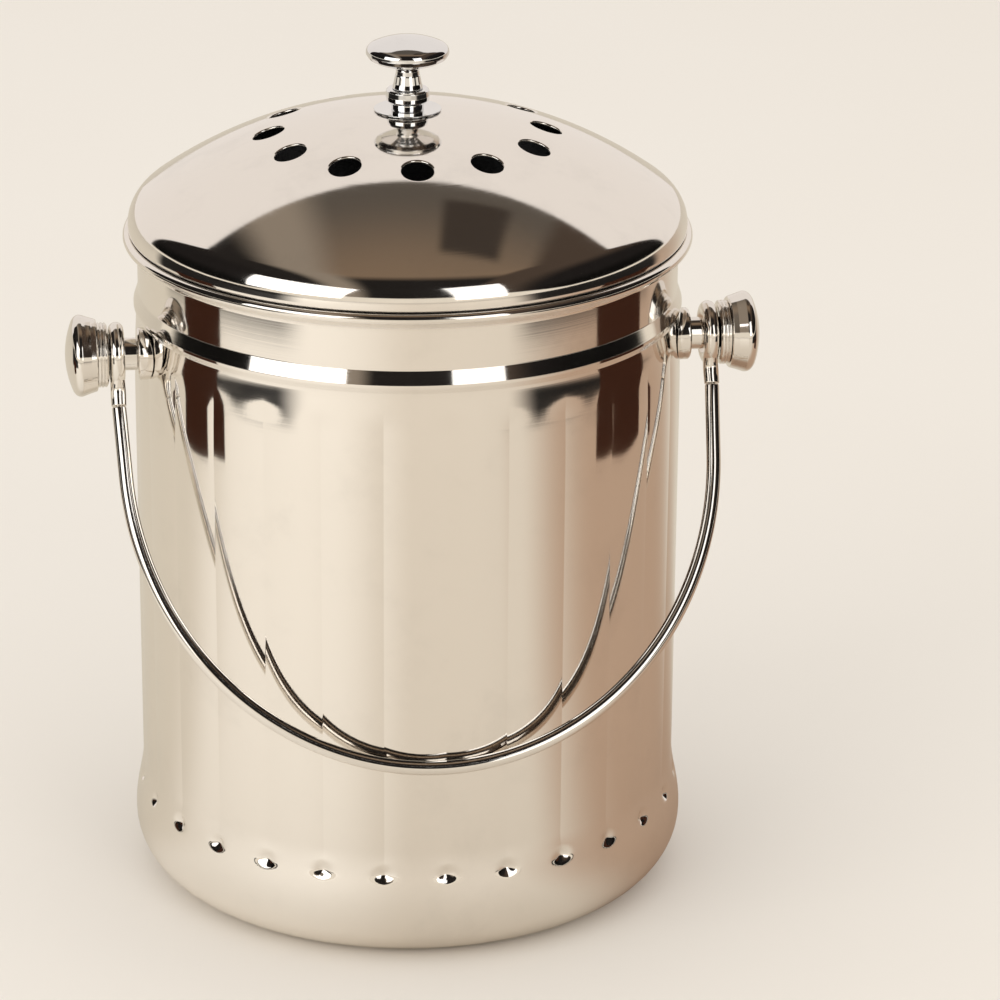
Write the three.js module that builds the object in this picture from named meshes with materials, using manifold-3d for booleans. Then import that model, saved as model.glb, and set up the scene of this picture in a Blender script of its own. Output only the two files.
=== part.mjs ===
// Kitchen compost pail: a fluted steel pail with a domed lift-off lid, a charcoal filter in the lid,
// a turned lid knob and a round-rod bail that swings on two side pivots.
// Millimetres, +Z up. The origin is the middle of the flat bottom, and the pivots lie along X.
import * as THREE from 'three';
import { mergeVertices } from 'three/addons/utils/BufferGeometryUtils.js';
import Module from 'manifold-3d';

const wasm = await Module();
wasm.setup();

// Fits shared by all the pieces
const SEAT_GAP = 0.3;
const CUT_OVERRUN = 3;
const RUNNING_GAP = 0.3;

// Pail body: one drawn steel shell with a rolled rim
const BODY_HEIGHT = 222;
const BODY_SHEET = 0.9;
const RIM_OUTER_R = 92;
const RIM_ROLL_R = 1.8;
const NECK_INSET = 4.5;
const NECK_FLARE_HEIGHT = 4;
const BEAD_STEP = 1.6;
const BEAD_DROP = 24.2;
const BEAD_UPPER_RISE = 4.8;
const BEAD_LOWER_FALL = 2.4;
const BEAD_CREST_HEIGHT = 1.2;
const SHOULDER_STEP = 0.7;
const SHOULDER_HEIGHT = 9;
const FLUTE_FADE_HEIGHT = 4;
const FLUTE_SWELL_HEIGHT = 17;
const FLUTE_STEP = 1.6;
const FLUTE_DEPTH = 0.4;
const FLUTE_COUNT = 28;
const FLUTE_TURN = THREE.MathUtils.degToRad(1.54);
const FLUTE_FOOT_HEIGHT = 40;
const DIMPLE_HEIGHT = 32.2;
const DIMPLE_DEPTH = 1.2;
const BASE_STEP = 4.3;
const BASE_CORNER_R = 19;
const BASE_BAND_TOP = 23;
const FLOOR_SHEET = 1.2;

// Where a flute's columns and the foot's rows lie, and how far each row is out, as shares
const FLUTE_COLUMN_SHARES = [0, 0.14, 0.5, 0.86];
const FLUTE_TOP_SHARE = 0.25;
const FOOT_ROW_SHARES = [0.26, 0.76];
const FOOT_FALL_SHARES = [0.28, 0.9];

// Lid: a spun dome with a folded edge, a locating skirt and a ring of vent holes
const LID_SHEET = 0.8;
const LID_INSET = 1.7;
const LID_EDGE_BAND = 1.6;
const LID_RISE = 37;
const LID_SHOULDER_R = 11.2;
const LID_KNOB_FLAT_R = 11.6;
const LID_HEM_HEIGHT = 2.6;
const VENT_COUNT = 12;
const VENT_R = 5.1;
const VENT_CUP_INSET = 17.3;
const VENT_TURN = THREE.MathUtils.degToRad(-2.5);
const SKIRT_CLEARANCE = 1.4;
const SKIRT_DEPTH = 9;
const SKIRT_SHEET = 0.8;
const SKIRT_FLANGE = 5;

// Filter under the dome: a welded cup, two charcoal pads and a push-in retainer
const CUP_INSET = 30;
const CUP_SHEET = 0.8;
const CUP_FLANGE = 4;
const CUP_BOTTOM_DROP = 14;
const PAD_THICKNESS = 4.5;
const PAD_EDGE_R = 1.2;
const PAD_SIDE_GAP = 0.6;
const RETAINER_HEIGHT = 3.2;
const RETAINER_RING = 5;
const RETAINER_BAR = 4;
const RETAINER_BAR_THICKNESS = 2;
const RETAINER_BAR_COUNT = 4;
const RETAINER_HUB_R = 9;
const RETAINER_PULL_HEIGHT = 7;
const RETAINER_PULL_LENGTH = 12;
const RETAINER_PULL_WIDTH = 2.4;

// Lid knob: a thin dished washer, a collar and a mushroom knob on one screw
const KNOB_WASHER_R = 10.9;
const KNOB_WASHER_SHEET = 0.5;
const KNOB_WASHER_DISH = 0.25;
const KNOB_FOOT_R = 5.3;
const KNOB_FOOT_HEIGHT = 2.4;
const KNOB_COLLAR_R = 7.1;
const KNOB_COLLAR_HEIGHT = 4.4;
const KNOB_COLLAR_CHAMFER = 0.6;
const KNOB_STEM_TOP_R = 4.1;
const KNOB_STEM_WAIST_R = 4;
const KNOB_STEM_FOOT_R = 4.9;
const KNOB_STEM_WAIST_HEIGHT = 4.3;
const KNOB_STEM_HEIGHT = 7.15;
const KNOB_CAP_R = 13.3;
const KNOB_CAP_EDGE_R = 2.6;
const KNOB_CAP_UNDER_HEIGHT = 4.8;
const KNOB_CAP_CROWN_HEIGHT = 5;
const KNOB_BORE_DEPTH = 6;

// Screws and the plain washers under their heads
const SCREW_R = 2;
const SCREW_HOLE_GAP = 0.3;
const SCREW_HEAD_R = 4;
const SCREW_HEAD_HEIGHT = 2.4;
const SCREW_HEAD_EDGE = 0.8;
const SCREW_SLOT_WIDTH = 1;
const SCREW_SLOT_DEPTH = 1.1;
const SCREW_TIP_GAP = 0.6;
const WASHER_R = 6;
const WASHER_THICKNESS = 1;

// Side pivots, measured outwards from the body along the pivot axis, which stands forward of the pail's
const PIVOT_DROP = 34;
const PIVOT_FORWARD = 19;
const PIVOT_COLLAR_R = 8.4;
const PIVOT_COLLAR_WIDTH = 2.4;
const PIVOT_COLLAR_EDGE = 0.7;
const PIVOT_BUSH_R = 5.2;
const PIVOT_BUSH_LENGTH = 9.4;
const PIVOT_EYE_OUTSET = 6.6;
const PIVOT_DISC_R = 10.4;
const PIVOT_DISC_WIDTH = 3.5;
const PIVOT_DISC_EDGE = 0.9;
const PIVOT_KNOB_R = 13.1;
const PIVOT_KNOB_BACK_R = 11.6;
const PIVOT_KNOB_SIDE_WIDTH = 4.8;
const PIVOT_KNOB_EDGE_R = 1.8;
const PIVOT_KNOB_CROWN = 3.5;
const PIVOT_KNOB_BORE_DEPTH = 5;

// Bail: a bowed round rod with a ringed end at each pivot
const BAIL_LENGTH = 137.9;
const BAIL_BOW_DEPTH = 102.9;
const BAIL_BOW_INSET = 1;
const BAIL_ROD_R = 2.3;
const EYE_WIRE_R = 2.45;
const EYE_SHANK_LENGTH = 17;
const EYE_SHANK_ROOT_R = 2.5;
const EYE_SHANK_TIP_R = 2.4;
const SPIGOT_R = 1.2;
const SPIGOT_LENGTH = 4;

// How finely round things are cut into flats
const RING_STEPS = 48;
const KNOB_STEPS = 24;
const SMALL_STEPS = 16;
const SADDLE_STEPS = 96;
const BAIL_SIDES = 10;
const BAIL_LEG_STEPS = 1;
const BAIL_BOW_STEPS = 32;

// Sizes that follow from those above
const RIM_CENTRE_R = RIM_OUTER_R - RIM_ROLL_R;
const RIM_CENTRE_Z = BODY_HEIGHT - RIM_ROLL_R;
const NECK_R = RIM_OUTER_R - NECK_INSET;
const NECK_INNER_R = NECK_R - BODY_SHEET;
const BEAD_R = NECK_R + BEAD_STEP;
const SHOULDER_R = NECK_R + SHOULDER_STEP;
const FLUTE_R = NECK_R + FLUTE_STEP;
const BASE_R = NECK_R + BASE_STEP;
const BEAD_Z = BODY_HEIGHT - BEAD_DROP;
const SHOULDER_TOP_Z = BEAD_Z - BEAD_LOWER_FALL;
const FLUTE_END_Z = SHOULDER_TOP_Z - SHOULDER_HEIGHT;
const FLUTE_TOP_Z = FLUTE_END_Z - FLUTE_FADE_HEIGHT;
const FLUTE_TOP_R = SHOULDER_R + FLUTE_TOP_SHARE * (FLUTE_R - SHOULDER_R);
const FLUTE_FULL_Z = FLUTE_TOP_Z - FLUTE_SWELL_HEIGHT;
const LID_EDGE_R = RIM_OUTER_R - LID_INSET;
const CUP_R = RIM_OUTER_R - CUP_INSET;
const VENT_CIRCLE_R = CUP_R - VENT_CUP_INSET;
const LID_BOTTOM_Z = BODY_HEIGHT + SEAT_GAP;
const LID_SHOULDER_Z = LID_BOTTOM_Z + LID_EDGE_BAND;
const SCREW_HOLE_R = SCREW_R + SCREW_HOLE_GAP;
const PIVOT_Z = BODY_HEIGHT - PIVOT_DROP;
const PIVOT_SADDLE_R = (SHOULDER_R + FLUTE_R) / 2 + SEAT_GAP;
const PIVOT_SEAT_X = Math.sqrt(PIVOT_SADDLE_R ** 2 - PIVOT_FORWARD ** 2);
const PIVOT_BUSH_X = PIVOT_SEAT_X + PIVOT_COLLAR_WIDTH;
const PIVOT_DISC_X = PIVOT_BUSH_X + PIVOT_BUSH_LENGTH;
const PIVOT_KNOB_X = PIVOT_DISC_X + PIVOT_DISC_WIDTH;
const BAIL_HALF_SPAN = PIVOT_BUSH_X + PIVOT_EYE_OUTSET;
const BAIL_LEG_TOP = EYE_SHANK_LENGTH + SEAT_GAP;
const BAIL_LEAN = Math.asin((FLUTE_R + SEAT_GAP + BAIL_ROD_R - PIVOT_FORWARD) / BAIL_LENGTH);

// Materials
const mirrorSteel = new THREE.MeshStandardMaterial({ color: 0xd6d1c8, roughness: 0.08, metalness: 1 });
const chrome = new THREE.MeshStandardMaterial({ color: 0xdfe1e4, roughness: 0.05, metalness: 1 });
const brightSteel = new THREE.MeshStandardMaterial({ color: 0xcbc6bd, roughness: 0.14, metalness: 1 });
const sheetSteel = new THREE.MeshStandardMaterial({ color: 0xb9b6b0, roughness: 0.32, metalness: 1 });
const screwSteel = new THREE.MeshStandardMaterial({ color: 0xa9a8a6, roughness: 0.35, metalness: 1 });
const charcoal = new THREE.MeshStandardMaterial({ color: 0x1d1d1e, roughness: 0.95, metalness: 0 });
const blackPlastic = new THREE.MeshStandardMaterial({ color: 0x242426, roughness: 0.5, metalness: 0 });

// Closed meshes and solids

// Six times the volume that a geometry's faces enclose, negative when they point inwards
function signedVolume(geometry) {
  const place = geometry.attributes.position;
  const index = geometry.index;
  const a = new THREE.Vector3();
  const b = new THREE.Vector3();
  const c = new THREE.Vector3();
  let sum = 0;
  for (let i = 0; i < index.count; i += 3) {
    a.fromBufferAttribute(place, index.getX(i));
    b.fromBufferAttribute(place, index.getX(i + 1));
    c.fromBufferAttribute(place, index.getX(i + 2));
    sum += a.dot(b.cross(c));
  }
  return sum;
}

// A geometry with its shared corners merged, no empty triangles and its faces outwards
function closed(geometry) {
  const bare = geometry.clone();
  bare.deleteAttribute('normal');
  bare.deleteAttribute('uv');
  const merged = mergeVertices(bare);
  const kept = [];
  for (let i = 0; i < merged.index.count; i += 3) {
    const corners = [0, 1, 2].map((k) => merged.index.getX(i + k));
    if (new Set(corners).size === 3) kept.push(...corners);
  }
  merged.setIndex(kept);
  if (signedVolume(merged) < 0) {
    for (let i = 0; i < kept.length; i += 3) {
      [kept[i + 1], kept[i + 2]] = [kept[i + 2], kept[i + 1]];
    }
    merged.setIndex(kept);
  }
  merged.computeVertexNormals();
  return merged;
}

// A closed geometry as a solid that can be joined and cut
function solid(geometry) {
  const mesh = closed(geometry);
  const vertProperties = new Float32Array(mesh.attributes.position.array);
  const triVerts = new Uint32Array(mesh.index.array);
  return new wasm.Manifold(new wasm.Mesh({ numProp: 3, vertProperties, triVerts }));
}

// A solid back as a geometry
function shape(body) {
  const mesh = body.getMesh();
  const geometry = new THREE.BufferGeometry();
  geometry.setAttribute('position', new THREE.BufferAttribute(new Float32Array(mesh.vertProperties), 3));
  geometry.setIndex(new THREE.BufferAttribute(new Uint32Array(mesh.triVerts), 1));
  geometry.computeVertexNormals();
  return geometry;
}

// Points of an arc about (r, z), from one angle to another, both ends included
function arc(r, z, radius, from, to, steps) {
  const points = [];
  for (let i = 0; i <= steps; i += 1) {
    const angle = THREE.MathUtils.degToRad(from + ((to - from) * i) / steps);
    points.push([r + radius * Math.cos(angle), z + radius * Math.sin(angle)]);
  }
  return points;
}

// A profile of [radius, height] pairs turned about Z. It starts and ends on the axis, or is closed here
function turned(profile, steps) {
  const points = profile.map(([r, z]) => new THREE.Vector2(r, z));
  const onAxis = profile[0][0] === 0 && profile[profile.length - 1][0] === 0;
  if (!onAxis) points.push(points[0].clone());
  const geometry = new THREE.LatheGeometry(points, steps);
  geometry.rotateX(Math.PI / 2);
  return geometry;
}

// A round bar along Z from one height to another
function bar(radius, from, to, steps) {
  return turned([[0, from], [radius, from], [radius, to], [0, to]], steps);
}

// Height of a round arc above its centre, at a distance from the axis
function arcHeight(radius, distance) {
  return Math.sqrt(radius * radius - distance * distance);
}

// Pail body

// Rows of the body's skin, from the middle of the bottom over the rim and down inside to the floor.
// Each row is { r, z, flute, dimple, coarse }: how much of a flute and of a dimple it has, and
// whether it needs only every second column
function bodyRows() {
  const cornerR = BASE_R - BASE_CORNER_R;
  const footRise = FLUTE_FOOT_HEIGHT - BASE_BAND_TOP;
  const footFall = BASE_R - FLUTE_R;
  const dimpleR = BASE_R - (footFall * (DIMPLE_HEIGHT - BASE_BAND_TOP)) / footRise;
  const row = ([r, z], flute = 0, dimple = 0, coarse = false) => ({ r, z, flute, dimple, coarse });
  const inner = (r, z, flute = 0, dimple = 0) => row([r - BODY_SHEET, z], flute, dimple, true);
  const rollRow = (point) => row(point);
  const floorRow = (point) => row(point, 0, 0, true);
  return [
    floorRow([0, 0]),
    ...arc(cornerR, BASE_CORNER_R, BASE_CORNER_R, -90, -20, 4).map(floorRow),
    row([BASE_R, BASE_CORNER_R]),
    row([BASE_R, BASE_BAND_TOP]),
    row([BASE_R - FOOT_FALL_SHARES[0] * footFall, BASE_BAND_TOP + FOOT_ROW_SHARES[0] * footRise]),
    row([dimpleR, DIMPLE_HEIGHT], 0, 1),
    row([BASE_R - FOOT_FALL_SHARES[1] * footFall, BASE_BAND_TOP + FOOT_ROW_SHARES[1] * footRise], 1),
    row([FLUTE_R, FLUTE_FOOT_HEIGHT], 1),
    row([FLUTE_R, FLUTE_FULL_Z], 1),
    row([FLUTE_TOP_R, FLUTE_TOP_Z], 1),
    row([SHOULDER_R, FLUTE_END_Z]),
    row([SHOULDER_R, SHOULDER_TOP_Z]),
    row([BEAD_R, BEAD_Z - BEAD_CREST_HEIGHT / 2]),
    row([BEAD_R, BEAD_Z + BEAD_CREST_HEIGHT / 2]),
    row([NECK_R, BEAD_Z + BEAD_UPPER_RISE]),
    row([NECK_R, RIM_CENTRE_Z - NECK_FLARE_HEIGHT]),
    ...arc(RIM_CENTRE_R, RIM_CENTRE_Z, RIM_ROLL_R, -130, 80, 6).map(rollRow),
    ...arc(RIM_CENTRE_R, RIM_CENTRE_Z, RIM_ROLL_R, 120, 200, 2).map(floorRow),
    inner(NECK_R, RIM_CENTRE_Z - NECK_FLARE_HEIGHT),
    inner(NECK_R, BEAD_Z + BEAD_UPPER_RISE),
    inner(BEAD_R, BEAD_Z),
    inner(SHOULDER_R, SHOULDER_TOP_Z),
    inner(FLUTE_TOP_R, FLUTE_TOP_Z, 1),
    inner(FLUTE_R, FLUTE_FULL_Z, 1),
    inner(FLUTE_R, FLUTE_FOOT_HEIGHT, 1),
    inner(dimpleR, DIMPLE_HEIGHT, 0, 1),
    inner(BASE_R, BASE_BAND_TOP),
    ...arc(cornerR, BASE_CORNER_R, BASE_CORNER_R - FLOOR_SHEET, 0, -90, 3).map(floorRow),
    floorRow([0, FLOOR_SHEET]),
  ];
}

// The body's skin as a grid: one column at each crease and three across each flute
function bodySkin() {
  const rows = bodyRows();
  const pitch = (2 * Math.PI) / FLUTE_COUNT;
  const columns = [];
  for (let i = 0; i < FLUTE_COUNT; i += 1) {
    FLUTE_COLUMN_SHARES.forEach((share) => {
      const angle = -Math.PI / 2 + FLUTE_TURN + (i + share) * pitch;
      columns.push({ angle, fall: (2 * share - 1) ** 2, crease: share === 0 ? 1 : 0 });
    });
  }
  const places = [];
  rows.forEach(({ r, z, flute, dimple }) => {
    columns.forEach(({ angle, fall, crease }) => {
      const depth = FLUTE_DEPTH * fall * flute + DIMPLE_DEPTH * crease * dimple;
      places.push((r - depth) * Math.cos(angle), (r - depth) * Math.sin(angle), z);
    });
  });
  const faces = [];
  const across = columns.length;
  const corner = (j, i) => {
    const column = i % across;
    return j * across + (rows[j].coarse ? column - (column % 2) : column);
  };
  for (let j = 0; j + 1 < rows.length; j += 1) {
    for (let i = 0; i < across; i += 1) {
      const a = corner(j, i);
      const b = corner(j, i + 1);
      const c = corner(j + 1, i + 1);
      const d = corner(j + 1, i);
      faces.push(a, b, c, a, c, d);
    }
  }
  const geometry = new THREE.BufferGeometry();
  geometry.setAttribute('position', new THREE.Float32BufferAttribute(places, 3));
  geometry.setIndex(faces);
  return geometry;
}

function pailBody() {
  const hole = bar(SCREW_HOLE_R, -(RIM_OUTER_R + CUT_OVERRUN), RIM_OUTER_R + CUT_OVERRUN, SMALL_STEPS);
  hole.rotateY(Math.PI / 2);
  hole.translate(0, -PIVOT_FORWARD, PIVOT_Z);
  return shape(solid(bodySkin()).subtract(solid(hole)));
}

// Lid

// The dome's large arc is centred on the axis and runs smoothly into its shoulder arc
const DOME_SHOULDER_CENTRE_R = LID_EDGE_R - LID_SHOULDER_R;
const DOME_CROWN = LID_RISE - LID_SHOULDER_R;
const DOME_CENTRE_FALL = (DOME_SHOULDER_CENTRE_R ** 2 - DOME_CROWN ** 2) / (2 * DOME_CROWN);
const DOME_R = LID_RISE + DOME_CENTRE_FALL;
const DOME_CENTRE_Z = LID_SHOULDER_Z - DOME_CENTRE_FALL;
const DOME_JOIN = THREE.MathUtils.radToDeg(Math.atan2(DOME_CENTRE_FALL, DOME_SHOULDER_CENTRE_R));
const KNOB_SEAT_Z = DOME_CENTRE_Z + arcHeight(DOME_R, LID_KNOB_FLAT_R);

// Height at a distance from the axis, a depth below the dome's underside
function underDome(distance, depth) {
  return DOME_CENTRE_Z + arcHeight(DOME_R - LID_SHEET - depth, distance);
}

function lidDome() {
  const hemCentreR = LID_EDGE_R - LID_SHEET;
  const hemZ = LID_BOTTOM_Z + LID_SHEET;
  const foldTop = LID_BOTTOM_Z + LID_HEM_HEIGHT;
  const innerR = DOME_R - LID_SHEET;
  const outerFlat = THREE.MathUtils.radToDeg(Math.acos(LID_KNOB_FLAT_R / DOME_R));
  const innerFlat = THREE.MathUtils.radToDeg(Math.acos(LID_KNOB_FLAT_R / innerR));
  const shoulder = (radius, from, to, steps) => {
    return arc(DOME_SHOULDER_CENTRE_R, LID_SHOULDER_Z, radius, from, to, steps);
  };
  const profile = [
    [SCREW_HOLE_R, KNOB_SEAT_Z],
    ...arc(0, DOME_CENTRE_Z, DOME_R, outerFlat, DOME_JOIN, 7),
    ...shoulder(LID_SHOULDER_R, DOME_JOIN, 0, 4).slice(1),
    ...arc(hemCentreR, hemZ, LID_SHEET, 0, -180, 4),
    [LID_EDGE_R - 2 * LID_SHEET, foldTop],
    [LID_EDGE_R - LID_SHEET, foldTop],
    ...shoulder(LID_SHOULDER_R - LID_SHEET, 20, DOME_JOIN, 2),
    ...arc(0, DOME_CENTRE_Z, innerR, DOME_JOIN, innerFlat, 7).slice(1, -1),
    [LID_KNOB_FLAT_R, KNOB_SEAT_Z - LID_SHEET],
    [SCREW_HOLE_R, KNOB_SEAT_Z - LID_SHEET],
  ];
  let dome = solid(turned(profile, RING_STEPS));
  const tilt = Math.asin(VENT_CIRCLE_R / DOME_R);
  for (let i = 0; i < VENT_COUNT; i += 1) {
    const vent = bar(VENT_R, DOME_R - LID_RISE, DOME_R + CUT_OVERRUN, SMALL_STEPS);
    vent.rotateY(tilt);
    vent.rotateZ(-Math.PI / 2 + VENT_TURN + (i * 2 * Math.PI) / VENT_COUNT);
    vent.translate(0, 0, DOME_CENTRE_Z);
    dome = dome.subtract(solid(vent));
  }
  return shape(dome);
}

// The locating skirt's flange lies along the dome's underside, where it is spot-welded
function lidSkirt() {
  const outerR = NECK_INNER_R - SKIRT_CLEARANCE;
  const innerR = outerR - SKIRT_SHEET;
  const flangeR = outerR - SKIRT_FLANGE;
  const bottomZ = BODY_HEIGHT - SKIRT_DEPTH;
  return turned([
    [outerR, bottomZ],
    [outerR, underDome(outerR, SEAT_GAP)],
    [flangeR, underDome(flangeR, SEAT_GAP)],
    [flangeR, underDome(flangeR, SEAT_GAP + SKIRT_SHEET)],
    [innerR, underDome(innerR, SEAT_GAP + SKIRT_SHEET)],
    [innerR, bottomZ],
  ], RING_STEPS);
}

// Filter

const CUP_INNER_R = CUP_R - CUP_SHEET;
const CUP_FLANGE_R = CUP_R + CUP_FLANGE;
const CUP_BOTTOM_Z = underDome(CUP_FLANGE_R, SEAT_GAP) - CUP_BOTTOM_DROP;
const RETAINER_R = CUP_INNER_R - SEAT_GAP;
const RETAINER_Z = CUP_BOTTOM_Z;
const PAD_LOW_Z = RETAINER_Z + RETAINER_HEIGHT + SEAT_GAP;
const PAD_HIGH_Z = PAD_LOW_Z + PAD_THICKNESS + SEAT_GAP;

function filterCup() {
  return turned([
    [CUP_R, CUP_BOTTOM_Z],
    [CUP_R, underDome(CUP_R, SEAT_GAP + CUP_SHEET)],
    [CUP_FLANGE_R, underDome(CUP_FLANGE_R, SEAT_GAP + CUP_SHEET)],
    [CUP_FLANGE_R, underDome(CUP_FLANGE_R, SEAT_GAP)],
    [CUP_INNER_R, underDome(CUP_INNER_R, SEAT_GAP)],
    [CUP_INNER_R, CUP_BOTTOM_Z],
  ], RING_STEPS);
}

function filterPad() {
  const edgeR = CUP_INNER_R - PAD_SIDE_GAP - PAD_EDGE_R;
  return turned([
    [0, 0],
    ...arc(edgeR, PAD_EDGE_R, PAD_EDGE_R, -90, 0, 1),
    ...arc(edgeR, PAD_THICKNESS - PAD_EDGE_R, PAD_EDGE_R, 0, 90, 1),
    [0, PAD_THICKNESS],
  ], RING_STEPS);
}

function filterRetainer() {
  const ringInnerR = RETAINER_R - RETAINER_RING;
  const ring = turned([
    [RETAINER_R, 0],
    [RETAINER_R, RETAINER_HEIGHT],
    [ringInnerR, RETAINER_HEIGHT],
    [ringInnerR, 0],
  ], RING_STEPS);
  let body = solid(ring).add(solid(bar(RETAINER_HUB_R, 0, RETAINER_BAR_THICKNESS, KNOB_STEPS)));
  const reach = ringInnerR + RETAINER_RING / 2;
  for (let i = 0; i < RETAINER_BAR_COUNT; i += 1) {
    const arm = new THREE.BoxGeometry(reach, RETAINER_BAR, RETAINER_BAR_THICKNESS);
    arm.translate(reach / 2, 0, RETAINER_BAR_THICKNESS / 2);
    arm.rotateZ((i * 2 * Math.PI) / RETAINER_BAR_COUNT);
    body = body.add(solid(arm));
  }
  const pullHeight = RETAINER_PULL_HEIGHT + RETAINER_BAR_THICKNESS / 2;
  const pull = new THREE.BoxGeometry(RETAINER_PULL_LENGTH, RETAINER_PULL_WIDTH, pullHeight);
  pull.translate(0, 0, RETAINER_BAR_THICKNESS / 2 - pullHeight / 2);
  return shape(body.add(solid(pull)));
}

// Lid knob

const KNOB_COLLAR_Z = KNOB_SEAT_Z + KNOB_WASHER_SHEET;
const KNOB_Z = KNOB_COLLAR_Z + KNOB_FOOT_HEIGHT + KNOB_COLLAR_HEIGHT;

function knobWasher() {
  return turned([
    [SCREW_HOLE_R, 0],
    [KNOB_FOOT_R + KNOB_WASHER_DISH, 0],
    [KNOB_WASHER_R, KNOB_WASHER_DISH],
    [KNOB_WASHER_R, KNOB_WASHER_DISH + KNOB_WASHER_SHEET],
    [KNOB_FOOT_R, KNOB_WASHER_SHEET],
    [SCREW_HOLE_R, KNOB_WASHER_SHEET],
  ], KNOB_STEPS);
}

function knobCollar() {
  const top = KNOB_FOOT_HEIGHT + KNOB_COLLAR_HEIGHT;
  return turned([
    [SCREW_HOLE_R, 0],
    [KNOB_FOOT_R, 0],
    [KNOB_FOOT_R, KNOB_FOOT_HEIGHT],
    [KNOB_COLLAR_R, KNOB_FOOT_HEIGHT + KNOB_COLLAR_CHAMFER],
    [KNOB_COLLAR_R, top - KNOB_COLLAR_CHAMFER],
    [KNOB_COLLAR_R - KNOB_COLLAR_CHAMFER, top],
    [SCREW_HOLE_R, top],
  ], KNOB_STEPS);
}

// A crowned outline: half an ellipse from the rim of a cap to the axis
function crown(radius, z, height, steps) {
  return arc(0, 0, 1, 0, 90, steps).map(([x, y], i) => [i === steps ? 0 : radius * x, z + height * y]);
}

// The lid knob's cap has a round edge that runs smoothly into a spherical crown
const CAP_EDGE_CENTRE_R = KNOB_CAP_R - KNOB_CAP_EDGE_R;
const CAP_CROWN_RISE = KNOB_CAP_CROWN_HEIGHT - KNOB_CAP_EDGE_R;
const CAP_CROWN_FALL = (CAP_EDGE_CENTRE_R ** 2 - CAP_CROWN_RISE ** 2) / (2 * CAP_CROWN_RISE);
const CAP_CROWN_R = KNOB_CAP_CROWN_HEIGHT + CAP_CROWN_FALL;
const CAP_CROWN_JOIN = THREE.MathUtils.radToDeg(Math.atan2(CAP_CROWN_FALL, CAP_EDGE_CENTRE_R));

function lidKnob() {
  const capZ = KNOB_STEM_HEIGHT + KNOB_CAP_UNDER_HEIGHT;
  const under = arc(0, 0, 1, -60, -15, 3).map(([x, y]) => [KNOB_CAP_R * x, capZ + KNOB_CAP_UNDER_HEIGHT * y]);
  return turned([
    [0, KNOB_BORE_DEPTH],
    [SCREW_HOLE_R, KNOB_BORE_DEPTH],
    [SCREW_HOLE_R, 0],
    [KNOB_STEM_FOOT_R, 0],
    [KNOB_STEM_WAIST_R, KNOB_STEM_WAIST_HEIGHT],
    [KNOB_STEM_TOP_R, KNOB_STEM_HEIGHT],
    ...under,
    ...arc(CAP_EDGE_CENTRE_R, capZ, KNOB_CAP_EDGE_R, 0, CAP_CROWN_JOIN, 3),
    ...arc(0, capZ - CAP_CROWN_FALL, CAP_CROWN_R, CAP_CROWN_JOIN, 90, 4).slice(1, -1),
    [0, capZ + KNOB_CAP_CROWN_HEIGHT],
  ], KNOB_STEPS);
}

// A pan-head screw pointing along +Z from under its head
function screw(length) {
  const head = turned([
    [0, -SCREW_HEAD_HEIGHT],
    [SCREW_HEAD_R - SCREW_HEAD_EDGE, -SCREW_HEAD_HEIGHT],
    [SCREW_HEAD_R, SCREW_HEAD_EDGE - SCREW_HEAD_HEIGHT],
    [SCREW_HEAD_R, 0],
    [SCREW_R, 0],
    [SCREW_R, length],
    [0, length],
  ], SMALL_STEPS);
  const slotHeight = SCREW_SLOT_DEPTH + CUT_OVERRUN;
  const slot = new THREE.BoxGeometry(2 * SCREW_HEAD_R + CUT_OVERRUN, SCREW_SLOT_WIDTH, slotHeight);
  slot.translate(0, 0, SCREW_SLOT_DEPTH - SCREW_HEAD_HEIGHT - slotHeight / 2);
  return shape(solid(head).subtract(solid(slot)));
}

// A plain washer standing on z = 0
function washer() {
  return turned([
    [SCREW_HOLE_R, 0],
    [WASHER_R, 0],
    [WASHER_R, WASHER_THICKNESS],
    [SCREW_HOLE_R, WASHER_THICKNESS],
  ], SMALL_STEPS);
}

// Side pivots

// The wall is oblique where the pivots stand, so the collar outside and the washer inside are
// bevelled to it. Both are drawn along +Z from the pail's middle, where the wall's axis lies along X
const PIVOT_INNER_SADDLE_R = SHOULDER_R - BODY_SHEET - FLUTE_DEPTH - SEAT_GAP;
const PIVOT_WASHER_FRONT = PIVOT_FORWARD + WASHER_R;
const PIVOT_WASHER_Z = Math.sqrt(PIVOT_INNER_SADDLE_R ** 2 - PIVOT_WASHER_FRONT ** 2) - WASHER_THICKNESS;

// A solid turned about the wall's axis, as the pivots see it
function wallCutter(profile) {
  const cutter = turned(profile, SADDLE_STEPS);
  cutter.rotateY(Math.PI / 2);
  cutter.translate(0, PIVOT_FORWARD, 0);
  return solid(cutter);
}

function pivotCollar() {
  const foot = PIVOT_SEAT_X - PIVOT_COLLAR_R;
  const face = PIVOT_SEAT_X + PIVOT_COLLAR_WIDTH;
  const reach = PIVOT_COLLAR_R + CUT_OVERRUN;
  const wall = wallCutter([[0, -reach], [PIVOT_SADDLE_R, -reach], [PIVOT_SADDLE_R, reach], [0, reach]]);
  const collar = turned([
    [SCREW_HOLE_R, foot],
    [PIVOT_COLLAR_R, foot],
    [PIVOT_COLLAR_R, face - PIVOT_COLLAR_EDGE],
    [PIVOT_COLLAR_R - PIVOT_COLLAR_EDGE, face],
    [SCREW_HOLE_R, face],
  ], KNOB_STEPS);
  return shape(solid(collar).subtract(wall));
}

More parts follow.
